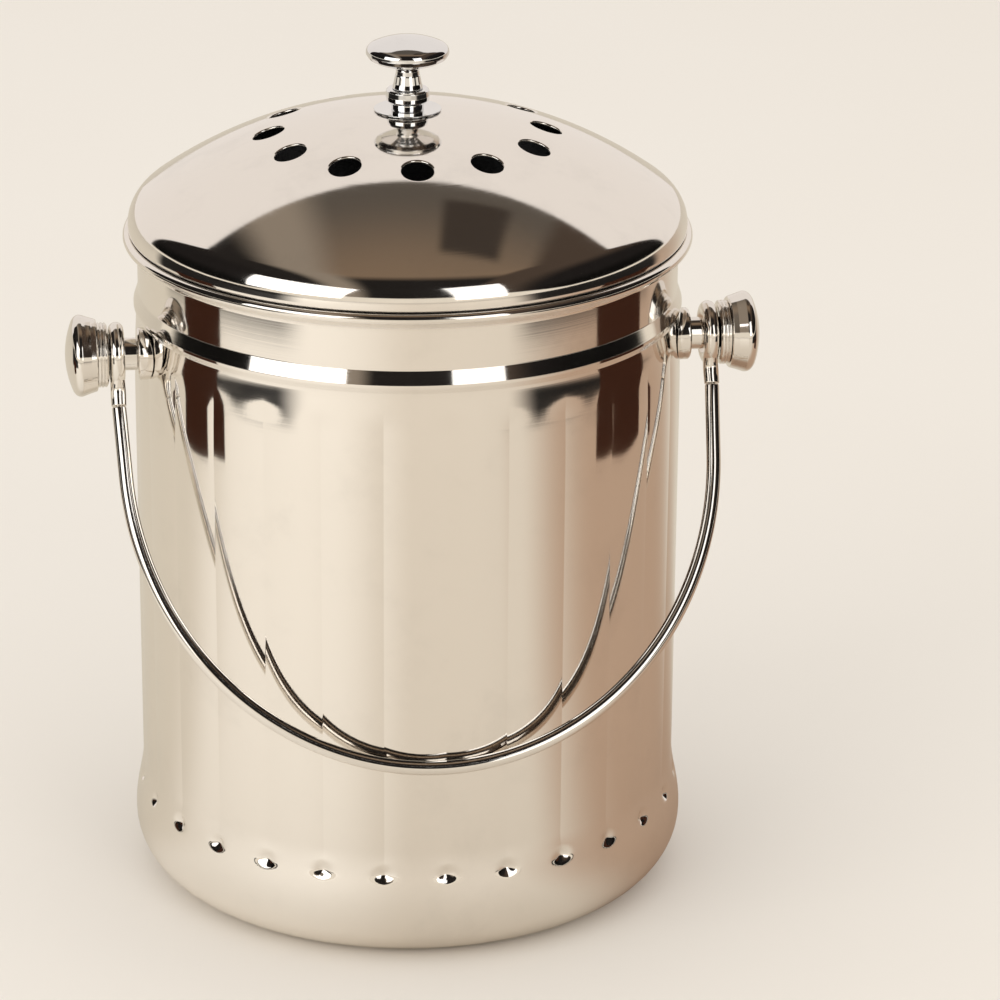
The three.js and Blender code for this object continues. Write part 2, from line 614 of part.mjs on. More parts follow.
function pivotWasher() {
  const reach = WASHER_R + CUT_OVERRUN;
  const outerR = PIVOT_SADDLE_R + CUT_OVERRUN;
  const wall = wallCutter([
    [PIVOT_INNER_SADDLE_R, -reach],
    [outerR, -reach],
    [outerR, reach],
    [PIVOT_INNER_SADDLE_R, reach],
  ]);
  const blank = turned([
    [SCREW_HOLE_R, PIVOT_WASHER_Z],
    [WASHER_R, PIVOT_WASHER_Z],
    [WASHER_R, PIVOT_SEAT_X],
    [SCREW_HOLE_R, PIVOT_SEAT_X],
  ], KNOB_STEPS);
  return shape(solid(blank).subtract(wall));
}

function pivotBush() {
  return turned([
    [SCREW_HOLE_R, 0],
    [PIVOT_BUSH_R, 0],
    [PIVOT_BUSH_R, PIVOT_BUSH_LENGTH],
    [SCREW_HOLE_R, PIVOT_BUSH_LENGTH],
  ], KNOB_STEPS);
}

function pivotDisc() {
  return turned([
    [SCREW_HOLE_R, 0],
    [PIVOT_DISC_R - PIVOT_DISC_EDGE, 0],
    [PIVOT_DISC_R, PIVOT_DISC_EDGE],
    [PIVOT_DISC_R, PIVOT_DISC_WIDTH],
    [SCREW_HOLE_R, PIVOT_DISC_WIDTH],
  ], KNOB_STEPS);
}

function pivotKnob() {
  const edgeCentreR = PIVOT_KNOB_R - PIVOT_KNOB_EDGE_R;
  const faceZ = PIVOT_KNOB_SIDE_WIDTH + PIVOT_KNOB_EDGE_R;
  return turned([
    [0, PIVOT_KNOB_BORE_DEPTH],
    [SCREW_HOLE_R, PIVOT_KNOB_BORE_DEPTH],
    [SCREW_HOLE_R, 0],
    [PIVOT_KNOB_BACK_R, 0],
    ...arc(edgeCentreR, PIVOT_KNOB_SIDE_WIDTH, PIVOT_KNOB_EDGE_R, 0, 70, 3),
    ...crown(edgeCentreR, faceZ, PIVOT_KNOB_CROWN, 3).slice(1),
  ], KNOB_STEPS);
}

// Bail, drawn in its own plane: the pivot axis along X at the origin, the bow hanging down along -Z

// The bow is the lower part of an ellipse, and each leg is the tangent to it from its shank's end
const BOW_HALF_WIDTH = BAIL_HALF_SPAN - BAIL_BOW_INSET;
const BOW_CENTRE_DROP = BAIL_LENGTH - BAIL_BOW_DEPTH;
const BOW_LEG_X = BAIL_HALF_SPAN / BOW_HALF_WIDTH;
const BOW_LEG_Z = (BAIL_LEG_TOP - BOW_CENTRE_DROP) / BAIL_BOW_DEPTH;
const BOW_START = Math.atan2(BOW_LEG_Z, BOW_LEG_X) + Math.acos(1 / Math.hypot(BOW_LEG_X, BOW_LEG_Z));

// The rod's middle line: a straight leg, the bow and the other leg
class BailLine extends THREE.Curve {
  getPoint(t, target = new THREE.Vector3()) {
    const legs = BAIL_LEG_STEPS;
    const steps = 2 * legs + BAIL_BOW_STEPS;
    const step = t * steps;
    const turn = Math.PI - 2 * BOW_START;
    const bowStep = THREE.MathUtils.clamp(step - legs, 0, BAIL_BOW_STEPS);
    const angle = BOW_START + (turn * bowStep) / BAIL_BOW_STEPS;
    const x = -BOW_HALF_WIDTH * Math.cos(angle);
    const drop = BOW_CENTRE_DROP + BAIL_BOW_DEPTH * Math.sin(angle);
    const share = Math.max(legs - step, step - (steps - legs), 0) / legs;
    const legX = Math.sign(x) * BAIL_HALF_SPAN;
    return target.set(x + share * (legX - x), 0, -(drop + share * (BAIL_LEG_TOP - drop)));
  }

  // Steps are even in angle, not in length, so that both ends stay on the legs
  getPointAt(u, target) {
    return this.getPoint(u, target);
  }

  getTangentAt(u, target = new THREE.Vector3()) {
    const steps = 2 * BAIL_LEG_STEPS + BAIL_BOW_STEPS;
    const near = Math.min(u + 1 / (4 * steps), 1);
    const back = Math.max(u - 1 / (4 * steps), 0);
    return target.copy(this.getPoint(near)).sub(this.getPoint(back)).normalize();
  }
}

// A round outline for an extrusion
function roundOutline(radius, sides) {
  const outline = new THREE.Shape();
  for (let i = 0; i < sides; i += 1) {
    const angle = (i * 2 * Math.PI) / sides;
    const x = radius * Math.cos(angle);
    const y = radius * Math.sin(angle);
    if (i === 0) outline.moveTo(x, y);
    else outline.lineTo(x, y);
  }
  outline.closePath();
  return outline;
}

function bailRod() {
  const steps = 2 * BAIL_LEG_STEPS + BAIL_BOW_STEPS;
  const rod = new THREE.ExtrudeGeometry(roundOutline(BAIL_ROD_R, BAIL_SIDES), {
    steps,
    bevelEnabled: false,
    extrudePath: new BailLine(),
  });
  let body = solid(rod);
  const rodTop = -BAIL_LEG_TOP;
  [-1, 1].forEach((side) => {
    const spigot = bar(SPIGOT_R, rodTop - SPIGOT_LENGTH, rodTop + SPIGOT_LENGTH, SMALL_STEPS);
    spigot.translate(side * BAIL_HALF_SPAN, 0, 0);
    body = body.add(solid(spigot));
  });
  return shape(body);
}

// A ring round the bush, with a tapered shank that takes the rod's spigot
function bailEye() {
  const ringR = PIVOT_BUSH_R + RUNNING_GAP + EYE_WIRE_R;
  const ring = new THREE.TorusGeometry(ringR, EYE_WIRE_R, BAIL_SIDES, KNOB_STEPS);
  ring.rotateY(Math.PI / 2);
  const shank = turned([
    [0, -EYE_SHANK_LENGTH],
    [EYE_SHANK_TIP_R, -EYE_SHANK_LENGTH],
    [EYE_SHANK_ROOT_R, -ringR],
    [0, -ringR],
  ], SMALL_STEPS);
  const socketR = SPIGOT_R + SEAT_GAP;
  const socketTop = SPIGOT_LENGTH + SEAT_GAP - EYE_SHANK_LENGTH;
  const socket = bar(socketR, -(EYE_SHANK_LENGTH + CUT_OVERRUN), socketTop, SMALL_STEPS);
  return shape(solid(ring).add(solid(shank)).subtract(solid(socket)));
}

// Putting the pieces together

// A named piece in a group, at a height along the group's own Z
function place(group, name, geometry, material, z) {
  const mesh = new THREE.Mesh(closed(geometry), material);
  mesh.name = name;
  mesh.position.z = z;
  group.add(mesh);
  return mesh;
}

const caddy = new THREE.Group();

place(caddy, 'pail_body', pailBody(), mirrorSteel, 0);
place(caddy, 'lid_dome', lidDome(), mirrorSteel, 0);
place(caddy, 'lid_locating_skirt', lidSkirt(), sheetSteel, 0);
place(caddy, 'filter_cup', filterCup(), sheetSteel, 0);
place(caddy, 'filter_pad_lower', filterPad(), charcoal, PAD_LOW_Z);
place(caddy, 'filter_pad_upper', filterPad(), charcoal, PAD_HIGH_Z);
place(caddy, 'filter_retainer', filterRetainer(), blackPlastic, RETAINER_Z);

place(caddy, 'lid_knob_washer', knobWasher(), chrome, KNOB_SEAT_Z);
place(caddy, 'lid_knob_collar', knobCollar(), chrome, KNOB_COLLAR_Z);
place(caddy, 'lid_knob', lidKnob(), chrome, KNOB_Z);
const lidWasherZ = KNOB_SEAT_Z - LID_SHEET - WASHER_THICKNESS;
const lidScrewLength = KNOB_Z + KNOB_BORE_DEPTH - SCREW_TIP_GAP - lidWasherZ;
place(caddy, 'lid_screw_washer', washer(), screwSteel, lidWasherZ);
place(caddy, 'lid_screw', screw(lidScrewLength), screwSteel, lidWasherZ);

// Each side's pivot is drawn along +Z from the pail's middle and turned to point along X
const pivotScrewLength = PIVOT_KNOB_X + PIVOT_KNOB_BORE_DEPTH - SCREW_TIP_GAP - PIVOT_WASHER_Z;
[['left', -1], ['right', 1]].forEach(([side, way]) => {
  const pivot = new THREE.Group();
  pivot.position.set(0, -PIVOT_FORWARD, PIVOT_Z);
  pivot.rotation.y = (way * Math.PI) / 2;
  place(pivot, `pivot_collar_${side}`, pivotCollar(), brightSteel, 0);
  place(pivot, `pivot_bush_${side}`, pivotBush(), brightSteel, PIVOT_BUSH_X);
  place(pivot, `pivot_disc_${side}`, pivotDisc(), brightSteel, PIVOT_DISC_X);
  place(pivot, `pivot_knob_${side}`, pivotKnob(), brightSteel, PIVOT_KNOB_X);
  place(pivot, `pivot_washer_${side}`, pivotWasher(), screwSteel, 0);
  place(pivot, `pivot_screw_${side}`, screw(pivotScrewLength), screwSteel, PIVOT_WASHER_Z);
  caddy.add(pivot);
});

// The bail leans forward until the bow's middle rests on the front of the body
const bail = new THREE.Group();
bail.position.set(0, -PIVOT_FORWARD, PIVOT_Z);
bail.rotation.x = -BAIL_LEAN;
place(bail, 'bail_rod', bailRod(), brightSteel, 0);
place(bail, 'bail_eye_left', bailEye(), brightSteel, 0).position.x = -BAIL_HALF_SPAN;
place(bail, 'bail_eye_right', bailEye(), brightSteel, 0).position.x = BAIL_HALF_SPAN;
caddy.add(bail);

export default caddy;
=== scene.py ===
import math

import bmesh
import bpy
import numpy as np
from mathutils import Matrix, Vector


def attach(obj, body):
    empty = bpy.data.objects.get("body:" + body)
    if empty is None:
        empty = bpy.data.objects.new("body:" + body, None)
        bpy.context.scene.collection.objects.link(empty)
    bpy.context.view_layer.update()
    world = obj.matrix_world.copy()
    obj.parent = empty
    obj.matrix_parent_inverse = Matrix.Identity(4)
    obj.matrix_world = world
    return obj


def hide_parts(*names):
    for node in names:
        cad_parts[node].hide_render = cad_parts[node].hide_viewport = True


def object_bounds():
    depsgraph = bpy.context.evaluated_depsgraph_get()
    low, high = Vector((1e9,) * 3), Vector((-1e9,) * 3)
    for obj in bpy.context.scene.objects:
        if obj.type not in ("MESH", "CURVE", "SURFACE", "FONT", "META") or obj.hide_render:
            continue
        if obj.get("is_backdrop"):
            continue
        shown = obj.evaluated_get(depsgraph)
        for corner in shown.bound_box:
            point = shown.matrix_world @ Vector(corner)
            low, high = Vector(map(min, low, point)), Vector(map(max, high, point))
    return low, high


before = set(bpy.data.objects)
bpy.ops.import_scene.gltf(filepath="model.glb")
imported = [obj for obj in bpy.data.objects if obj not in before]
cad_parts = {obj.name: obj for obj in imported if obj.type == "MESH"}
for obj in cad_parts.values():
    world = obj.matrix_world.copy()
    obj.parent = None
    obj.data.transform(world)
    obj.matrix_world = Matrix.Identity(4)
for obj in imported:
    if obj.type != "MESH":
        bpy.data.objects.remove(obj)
cad_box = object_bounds()
MM = 0.001

# Pail body
# One deep-drawn shell of mirror-polished steel: a flat bottom with a large corner, shallow
# upright flutes, a stepped shoulder with a crisp bead, a straight neck and a rolled rim.

WALL = 0.9
FLOOR_SHEET = 1.2
BASE_R = 91.8
BASE_CORNER_R = 19
FOOT_TOP = 40
FOOT_HEIGHT = 20
LOBE_R = 89.1
SWELL_BOTTOM = 164
SWELL_TOP = 194.4
SWELL_HEIGHT = 30
SHOULDER_R = 88.25
NECK_R = 87.5
RIM_R = 90.2
RIM_Z = 220.2
RIM_ROLL_R = 1.8
FLUTES = 28
FLUTE_TURN = math.radians(1.54)
FLUTE_DEPTH = 0.4
FLUTE_FOOT_Z = 33.5
FLUTE_FOOT_FADE = 6
FLUTE_TOP_Z = 188
FLUTE_TOP_FADE = 4
COLUMNS_PER_FLUTE = 18
COLUMN_CROWDING = 1.9
DIMPLE_Z = 32.2
DIMPLE_DEPTH = 1.2
DIMPLE_HALF_WIDTH = 4.1
DIMPLE_ABOVE = 3.8
DIMPLE_BELOW = 3.1
PATCHES_PER_METRE = 38


def arc(r, z, radius, start, end, steps):
    """Points of a circle about (r, z), from one angle in degrees to another, both ends included."""
    turn = np.radians(np.linspace(start, end, steps + 1))
    return np.stack([r + radius * np.cos(turn), z + radius * np.sin(turn)], axis=1)


def eased(corners, steps=6, guard=0.12):
    """Outline through [radius, height, fillet] corners. A corner with a fillet becomes the arc of
    that radius that touches both of its sides, with one more point a little before and after it,
    so that the flats beside it shade flat."""
    corners = [np.array(c, float) for c in corners]
    points = [corners[0][None, :2]]
    for before, corner, after in zip(corners, corners[1:], corners[2:]):
        at, fillet = corner[:2], corner[2]
        u, v = before[:2] - at, after[:2] - at
        u_length, v_length = np.linalg.norm(u), np.linalg.norm(v)
        u, v = u / u_length, v / v_length
        half = math.acos(np.clip(u @ v, -1, 1)) / 2
        if fillet == 0 or abs(half - math.pi / 2) < 1e-3:
            points.append(at[None])
            continue
        touch = min(fillet / math.tan(half), 0.48 * u_length, 0.48 * v_length)
        radius = touch * math.tan(half)
        centre = at + (u + v) / np.linalg.norm(u + v) * radius / math.sin(half)
        first, last = at + u * touch - centre, at + v * touch - centre
        sweep = math.pi - 2 * half
        share = np.linspace(0, 1, steps + 1)[:, None]
        bend = np.sin((1 - share) * sweep) * first + np.sin(share * sweep) * last
        bend = bend / math.sin(sweep)
        lead = min(guard, 0.3 * u_length, 0.3 * v_length)
        points.append(np.vstack([at + u * (touch + lead), centre + bend, at + v * (touch + lead)]))
    points.append(corners[-1][None, :2])
    return np.vstack(points)


def smooth_step(share):
    """Rises from 0 to 1 over a share of 0 to 1, level at both ends."""
    share = np.clip(share, 0, 1)
    return share * share * (3 - 2 * share)


def turned(outline, columns, axis="z", shift=0):
    """Grid of an outline of [radius, height] in millimetres turned about an axis, in metres.
    About x, the outline's height runs along x."""
    turn = np.linspace(0, 2 * np.pi, columns + 1)
    radius, height = outline[:, :1], outline[:, 1:] + shift
    a, b = radius * np.cos(turn), radius * np.sin(turn)
    h = np.broadcast_to(height, a.shape)
    rows = (a, b, h) if axis == "z" else (h, a, b)
    return np.stack(rows, axis=-1) * MM


def skin(name, grids, body, nodes, material):
    """A piece whose surface is made of grids of points [row, column]. Neighbouring points are
    joined by four-sided faces, points in one place become one, and the faces are turned
    outwards."""
    corners, faces, start = [], [], 0
    for grid in grids:
        rows, columns = grid.shape[:2]
        index = start + np.arange(rows * columns).reshape(rows, columns)
        quads = np.stack([index[:-1, :-1], index[:-1, 1:], index[1:, 1:], index[1:, :-1]], axis=-1)
        corners.append(grid.reshape(-1, 3))
        faces.append(quads.reshape(-1, 4))
        start += rows * columns
    mesh = bpy.data.meshes.new(name)
    mesh.from_pydata(np.vstack(corners), [], np.vstack(faces).tolist())
    work = bmesh.new()
    work.from_mesh(mesh)
    bmesh.ops.remove_doubles(work, verts=work.verts, dist=2e-6)
    bmesh.ops.recalc_face_normals(work, faces=work.faces)
    work.to_mesh(mesh)
    work.free()
    mesh.shade_smooth()
    piece = bpy.data.objects.new(name, mesh)
    bpy.context.scene.collection.objects.link(piece)
    mesh.materials.append(material)
    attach(piece, body)
    for node in nodes:
        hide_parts(node)
    return piece


def new_material(name, colour, metallic, roughness):
    """A material with a Principled BSDF, its nodes and a way to join two sockets."""
    material = bpy.data.materials.new(name)
    material.use_nodes = True
    nodes, links = material.node_tree.nodes, material.node_tree.links
    shader = nodes["Principled BSDF"]
    shader.inputs["Base Color"].default_value = (*colour, 1)
    shader.inputs["Metallic"].default_value = metallic
    shader.inputs["Roughness"].default_value = roughness
    place = nodes.new("ShaderNodeTexCoord")
    return material, nodes, links, shader, place.outputs["Object"]


def new_group(name, values, result):
    """A shader node group that takes a position and the named values and puts out one value."""
    group = bpy.data.node_groups.new(name, "ShaderNodeTree")
    new_socket = group.interface.new_socket
    new_socket("Position", in_out="INPUT", socket_type="NodeSocketVector")
    for value in values:
        new_socket(value, in_out="INPUT", socket_type="NodeSocketFloat")
    new_socket(result, in_out="OUTPUT", socket_type="NodeSocketFloat")
    nodes = group.nodes
    return nodes, group.links, nodes.new("NodeGroupInput"), nodes.new("NodeGroupOutput")


def spin_lines_group():
    """Fine rings left by the polishing wheel: noise that is stretched round the axis and changes
    fast with height and with distance from the axis. Puts out a value around 0.5."""
    nodes, links, given, out = new_group(
        "spin_lines", ("Lines per metre", "Streaks per metre"), "Lines",
    )
    split = nodes.new("ShaderNodeSeparateXYZ")
    links.new(given.outputs["Position"], split.inputs[0])
    flat = nodes.new("ShaderNodeCombineXYZ")
    links.new(split.outputs["X"], flat.inputs["X"])
    links.new(split.outputs["Y"], flat.inputs["Y"])
    radius = nodes.new("ShaderNodeVectorMath")
    radius.operation = "LENGTH"
    links.new(flat.outputs[0], radius.inputs[0])
    along = nodes.new("ShaderNodeVectorMath")
    along.operation = "SCALE"
    links.new(flat.outputs[0], along.inputs[0])
    links.new(given.outputs["Streaks per metre"], along.inputs["Scale"])
    along_split = nodes.new("ShaderNodeSeparateXYZ")
    links.new(along.outputs[0], along_split.inputs[0])
    up = nodes.new("ShaderNodeMath")
    up.operation = "MULTIPLY"
    links.new(split.outputs["Z"], up.inputs[0])
    links.new(given.outputs["Lines per metre"], up.inputs[1])
    out_ward = nodes.new("ShaderNodeMath")
    out_ward.operation = "MULTIPLY"
    links.new(radius.outputs["Value"], out_ward.inputs[0])
    links.new(given.outputs["Lines per metre"], out_ward.inputs[1])
    stretched = nodes.new("ShaderNodeCombineXYZ")
    links.new(along_split.outputs["X"], stretched.inputs["X"])
    links.new(along_split.outputs["Y"], stretched.inputs["Y"])
    links.new(up.outputs[0], stretched.inputs["Z"])
    noise = nodes.new("ShaderNodeTexNoise")
    noise.noise_dimensions = "4D"
    noise.inputs["Scale"].default_value = 1
    noise.inputs["Detail"].default_value = 3
    noise.inputs["Roughness"].default_value = 0.6
    links.new(stretched.outputs[0], noise.inputs["Vector"])
    links.new(out_ward.outputs[0], noise.inputs["W"])
    links.new(noise.outputs["Fac"], out.inputs["Lines"])


def handling_marks_group():
    """Soft patches where hands and cloths have dulled the polish.
    Puts out 0 on clean steel and up to 1 on a mark."""
    nodes, links, given, out = new_group("handling_marks", ("Patches per metre",), "Marks")
    cloud = nodes.new("ShaderNodeTexNoise")
    cloud.inputs["Detail"].default_value = 5
    cloud.inputs["Roughness"].default_value = 0.65
    links.new(given.outputs["Position"], cloud.inputs["Vector"])
    links.new(given.outputs["Patches per metre"], cloud.inputs["Scale"])
    soft = nodes.new("ShaderNodeMapRange")
    soft.interpolation_type = "SMOOTHSTEP"
    soft.inputs["From Min"].default_value = 0.48
    soft.inputs["From Max"].default_value = 0.78
    links.new(cloud.outputs["Fac"], soft.inputs["Value"])
    links.new(soft.outputs[0], out.inputs["Marks"])


spin_lines_group()
handling_marks_group()


def polished_steel(
    name, colour, roughness, lines, streaks, line_height, mark_roughness, satin_inside=0,
):
    """Polished metal: the roughness rises with the handling marks and wavers with the spin lines,
    which also stand up by their height in metres. Lines and streaks are counts per metre. What
    faces the pail's inside can be left duller."""
    material, nodes, links, shader, position = new_material(name, colour, 1, roughness)
    rings = nodes.new("ShaderNodeGroup")
    rings.node_tree = bpy.data.node_groups["spin_lines"]
    rings.inputs["Lines per metre"].default_value = lines
    rings.inputs["Streaks per metre"].default_value = streaks
    links.new(position, rings.inputs["Position"])
    marks = nodes.new("ShaderNodeGroup")
    marks.node_tree = bpy.data.node_groups["handling_marks"]
    marks.inputs["Patches per metre"].default_value = PATCHES_PER_METRE
    links.new(position, marks.inputs["Position"])
    ring_gloss = nodes.new("ShaderNodeMapRange")
    ring_gloss.inputs["To Min"].default_value = roughness * 0.5
    ring_gloss.inputs["To Max"].default_value = roughness * 1.5
    links.new(rings.outputs["Lines"], ring_gloss.inputs["Value"])
    mark_gloss = nodes.new("ShaderNodeMath")
    mark_gloss.operation = "MULTIPLY_ADD"
    mark_gloss.inputs[1].default_value = mark_roughness
    links.new(marks.outputs["Marks"], mark_gloss.inputs[0])
    links.new(ring_gloss.outputs[0], mark_gloss.inputs[2])
    facing = nodes.new("ShaderNodeVectorMath")
    facing.operation = "DOT_PRODUCT"
    links.new(position, facing.inputs[0])
    links.new(position.node.outputs["Normal"], facing.inputs[1])
    inward = nodes.new("ShaderNodeMapRange")
    inward.inputs["From Min"].default_value = 0.015
    inward.inputs["From Max"].default_value = 0.005
    inward.inputs["To Max"].default_value = satin_inside
    links.new(facing.outputs["Value"], inward.inputs["Value"])
    gloss = nodes.new("ShaderNodeMath")
    links.new(mark_gloss.outputs[0], gloss.inputs[0])
    links.new(inward.outputs[0], gloss.inputs[1])
    links.new(gloss.outputs[0], shader.inputs["Roughness"])
    tint = nodes.new("ShaderNodeMix")
    tint.data_type = "RGBA"
    tint.inputs["A"].default_value = (*colour, 1)
    tint.inputs["B"].default_value = (*[c * 0.94 for c in colour], 1)
    links.new(marks.outputs["Marks"], tint.inputs["Factor"])
    links.new(tint.outputs["Result"], shader.inputs["Base Color"])
    relief = nodes.new("ShaderNodeBump")
    relief.inputs["Strength"].default_value = 1
    relief.inputs["Distance"].default_value = line_height
    links.new(rings.outputs["Lines"], relief.inputs["Height"])
    links.new(relief.outputs[0], shader.inputs["Normal"])
    return material


mirror_steel = polished_steel(
    "mirror_steel", (0.90, 0.865, 0.82), roughness=0.06, lines=1400, streaks=10,
    line_height=3e-6, mark_roughness=0.05, satin_inside=0.3,
)


def body_outline():
    """Outline of the body's skin from the middle of the bottom, up the outside, over the rolled
    rim and down the inside to the floor."""
    foot = np.concatenate([
        np.linspace(20, 28.4, 7), np.linspace(29, 36.2, 19), np.linspace(37, 41, 5),
    ])
    foot_out = (BASE_R - LOBE_R) * smooth_step((FOOT_TOP - foot) / FOOT_HEIGHT)
    swell = np.linspace(SWELL_BOTTOM, SWELL_TOP, 13)
    climb = np.clip((swell - SWELL_BOTTOM) / SWELL_HEIGHT, 0, 1) ** 2
    outside = np.vstack([
        [[0, 0], [36, 0], [68, 0], [72.3, 0]],
        arc(BASE_R - BASE_CORNER_R, BASE_CORNER_R, BASE_CORNER_R, -90, 0, 14),
        np.stack([LOBE_R + foot_out, foot], axis=1),
        [[LOBE_R, z] for z in (44, 60, 100, 140, 158)],
        np.stack([LOBE_R + (SHOULDER_R - LOBE_R) * climb, swell], axis=1),
    ])
    shoulder = eased([
        (SHOULDER_R, 194.8, 0),
        (SHOULDER_R, 195.5, 0.4),
        (88.98, 197.4, 0.35),
        (88.98, 198.3, 0.35),
        (NECK_R, 202.7, 0.7),
        (NECK_R, 216.2, 2.2),
        (89.1, 218.7, 0.12),
        (89.3, 218.63, 0),
    ], steps=4)
    rim = arc(RIM_R, RIM_Z, RIM_ROLL_R, -119, 200, 24)
    inside = eased([
        (88.4, 219.4, 0),
        (NECK_R - WALL, 216.0, 2.5),
        (NECK_R - WALL, 202.4, 1.2),
        (88.05, 198.0, 0.7),
        (SHOULDER_R - WALL, 195.3, 0.3),
        (SHOULDER_R - WALL, 194.8, 0),
    ], steps=3)
    fall = swell[::-2]
    inner_swell = LOBE_R + (SHOULDER_R - LOBE_R) * climb[::-2] - WALL
    inner_foot = np.stack([LOBE_R + foot_out - WALL, foot], axis=1)[::-3]
    inner_corner = BASE_CORNER_R - FLOOR_SHEET
    return np.vstack([
        outside,
        shoulder,
        rim,
        inside,
        np.stack([inner_swell, fall], axis=1),
        [[LOBE_R - WALL, z] for z in (150, 120, 90, 60)],
        inner_foot,
        arc(BASE_R - WALL - inner_corner, BASE_CORNER_R, inner_corner, 0, -90, 8),
        [[68, FLOOR_SHEET], [36, FLOOR_SHEET], [0, FLOOR_SHEET]],
    ])


def body_skin():
    """The outline turned about z, pressed in along each flute crease by a parabola that fades out
    at both ends, and pressed in again by a small round dimple where each crease meets the foot. The
    dimple is a smooth bell in a distance that counts upward steps for less, so that it draws out
    to a point above."""
    outline = body_outline()
    r, z = outline[:, :1], outline[:, 1:]
    even = np.linspace(-1, 1, COLUMNS_PER_FLUTE + 1)[:-1]
    cell = (1 + np.sign(even) * (1 - (1 - np.abs(even)) ** COLUMN_CROWDING)) / 2
    share = np.concatenate([np.tile(cell, FLUTES), [0]])
    flute = np.concatenate([np.repeat(np.arange(FLUTES), COLUMNS_PER_FLUTE), [FLUTES]])
    pitch = 2 * np.pi / FLUTES
    turn = -np.pi / 2 + FLUTE_TURN + (flute + share) * pitch
    foot_fade = smooth_step((z - FLUTE_FOOT_Z) / FLUTE_FOOT_FADE)
    fade = foot_fade * smooth_step((FLUTE_TOP_Z - z) / FLUTE_TOP_FADE)
    crease = r - FLUTE_DEPTH * (2 * share - 1) ** 2 * fade
    away = np.minimum(share, 1 - share) * pitch * LOBE_R
    climb = np.where(z > DIMPLE_Z, (z - DIMPLE_Z) / DIMPLE_ABOVE, (DIMPLE_Z - z) / DIMPLE_BELOW)
    reach = np.sqrt((away / DIMPLE_HALF_WIDTH) ** 2 + climb ** 2)
    dimple = DIMPLE_DEPTH * (1 - smooth_step(reach))
    radius = crease - dimple
    height = np.broadcast_to(z, radius.shape)
    return np.stack([radius * np.cos(turn), radius * np.sin(turn), height], axis=-1) * MM


skin("pail_body_shell", [body_skin()], "pail", ["pail_body"], mirror_steel)

# Lid dome
# A pressed dome of the same mirror-polished sheet with a hemmed edge, twelve round vents punched
# in a ring, and a small flat in the middle where the knob is screwed on.

EDGE_R = 90.3
DOME_R = 145.36
DOME_Z = 115.54
DOME_SHEET = 0.8
SHOULDER_ARC_R = 11.2
SHOULDER_AT = (79.1, 223.9)
SHOULDER_START = 53.87
HEM_Z = 223.1
KNOB_FLAT_R = 11.6
BORE_R = 2.3
VENTS = 12
VENT_R = 5.1
VENT_RING_R = 44.7
VENT_TURN = math.radians(-2.5)
VENT_ROLL_R = 0.55
VENT_INNER_EDGE_R = 0.2
BAND_IN, BAND_OUT = 37.0, 53.0
SECTOR_STEPS = 20
BAND_STEPS = 14
LID_COLUMNS = VENTS * SECTOR_STEPS


def angle_at(radius, sphere):
    """Angle in degrees above level at which a circle of that radius about the axis is reached."""
    return math.degrees(math.acos(radius / sphere))


def on_dome(across, turn, depth):
    """Points of the dome at a distance from the axis and an angle round it, that far under its
    outer face, square to it."""
    tilt = across / DOME_R
    flat = (DOME_R - depth) * tilt
    rise = (DOME_R - depth) * np.sqrt(1 - tilt ** 2)
    return np.stack([flat * np.cos(turn), flat * np.sin(turn), DOME_Z + rise], axis=-1) * MM


def vent_patch(middle):
    """One sector of the vent ring: from the sector's outline on the outer face in to the round
    hole, over its rolled edge, down through the sheet, and back out on the inner face."""
    half = np.pi / VENTS
    sweep = np.linspace(-half, half, SECTOR_STEPS + 1)
    climb = np.linspace(BAND_IN, BAND_OUT, BAND_STEPS + 1)
    border_turn = np.concatenate([
        sweep, np.full(BAND_STEPS, half), sweep[-2::-1], np.full(BAND_STEPS, -half),
    ])
    border_r = np.concatenate([
        np.full(SECTOR_STEPS + 1, BAND_IN), climb[1:],
        np.full(SECTOR_STEPS, BAND_OUT), climb[-2::-1],
    ])
    way_x = border_r * np.cos(border_turn) - VENT_RING_R
    way_y = border_r * np.sin(border_turn)
    way = np.hypot(way_x, way_y)
    rings, depths = [], []
    for share in np.linspace(1, 0, 9) ** 1.4:
        rings.append((VENT_R + VENT_ROLL_R) * (1 - share) + way * share)
        depths.append(0)
    for lean in np.radians([12, 24, 36, 48, 60, 72, 90]):
        rings.append(np.full_like(way, VENT_R + VENT_ROLL_R * (1 - math.sin(lean))))
        depths.append(VENT_ROLL_R * (1 - math.cos(lean)))
    for lean in np.radians([90, 60, 30]):
        rings.append(np.full_like(way, VENT_R + VENT_INNER_EDGE_R * (1 - math.sin(lean))))
        depths.append(DOME_SHEET - VENT_INNER_EDGE_R * (1 - math.cos(lean)))
    for share in np.linspace(0, 1, 5):
        rings.append((VENT_R + VENT_INNER_EDGE_R) * (1 - share) + way * share)
        depths.append(DOME_SHEET)
    reach = np.array(rings) / way
    x, y = VENT_RING_R + way_x * reach, way_y * reach
    turn = np.arctan2(y, x) + middle
    return on_dome(np.hypot(x, y), turn, np.array(depths)[:, None])


def dome_turned(outline):
    """A turned part of the dome whose columns meet the vent patches' edges."""
    start = -np.pi / 2 + VENT_TURN - np.pi / VENTS
    turn = start + np.linspace(0, 2 * np.pi, LID_COLUMNS + 1)
    radius, height = outline[:, :1], outline[:, 1:]
    h = np.broadcast_to(height, (len(outline), LID_COLUMNS + 1))
    return np.stack([radius * np.cos(turn), radius * np.sin(turn), h], axis=-1) * MM


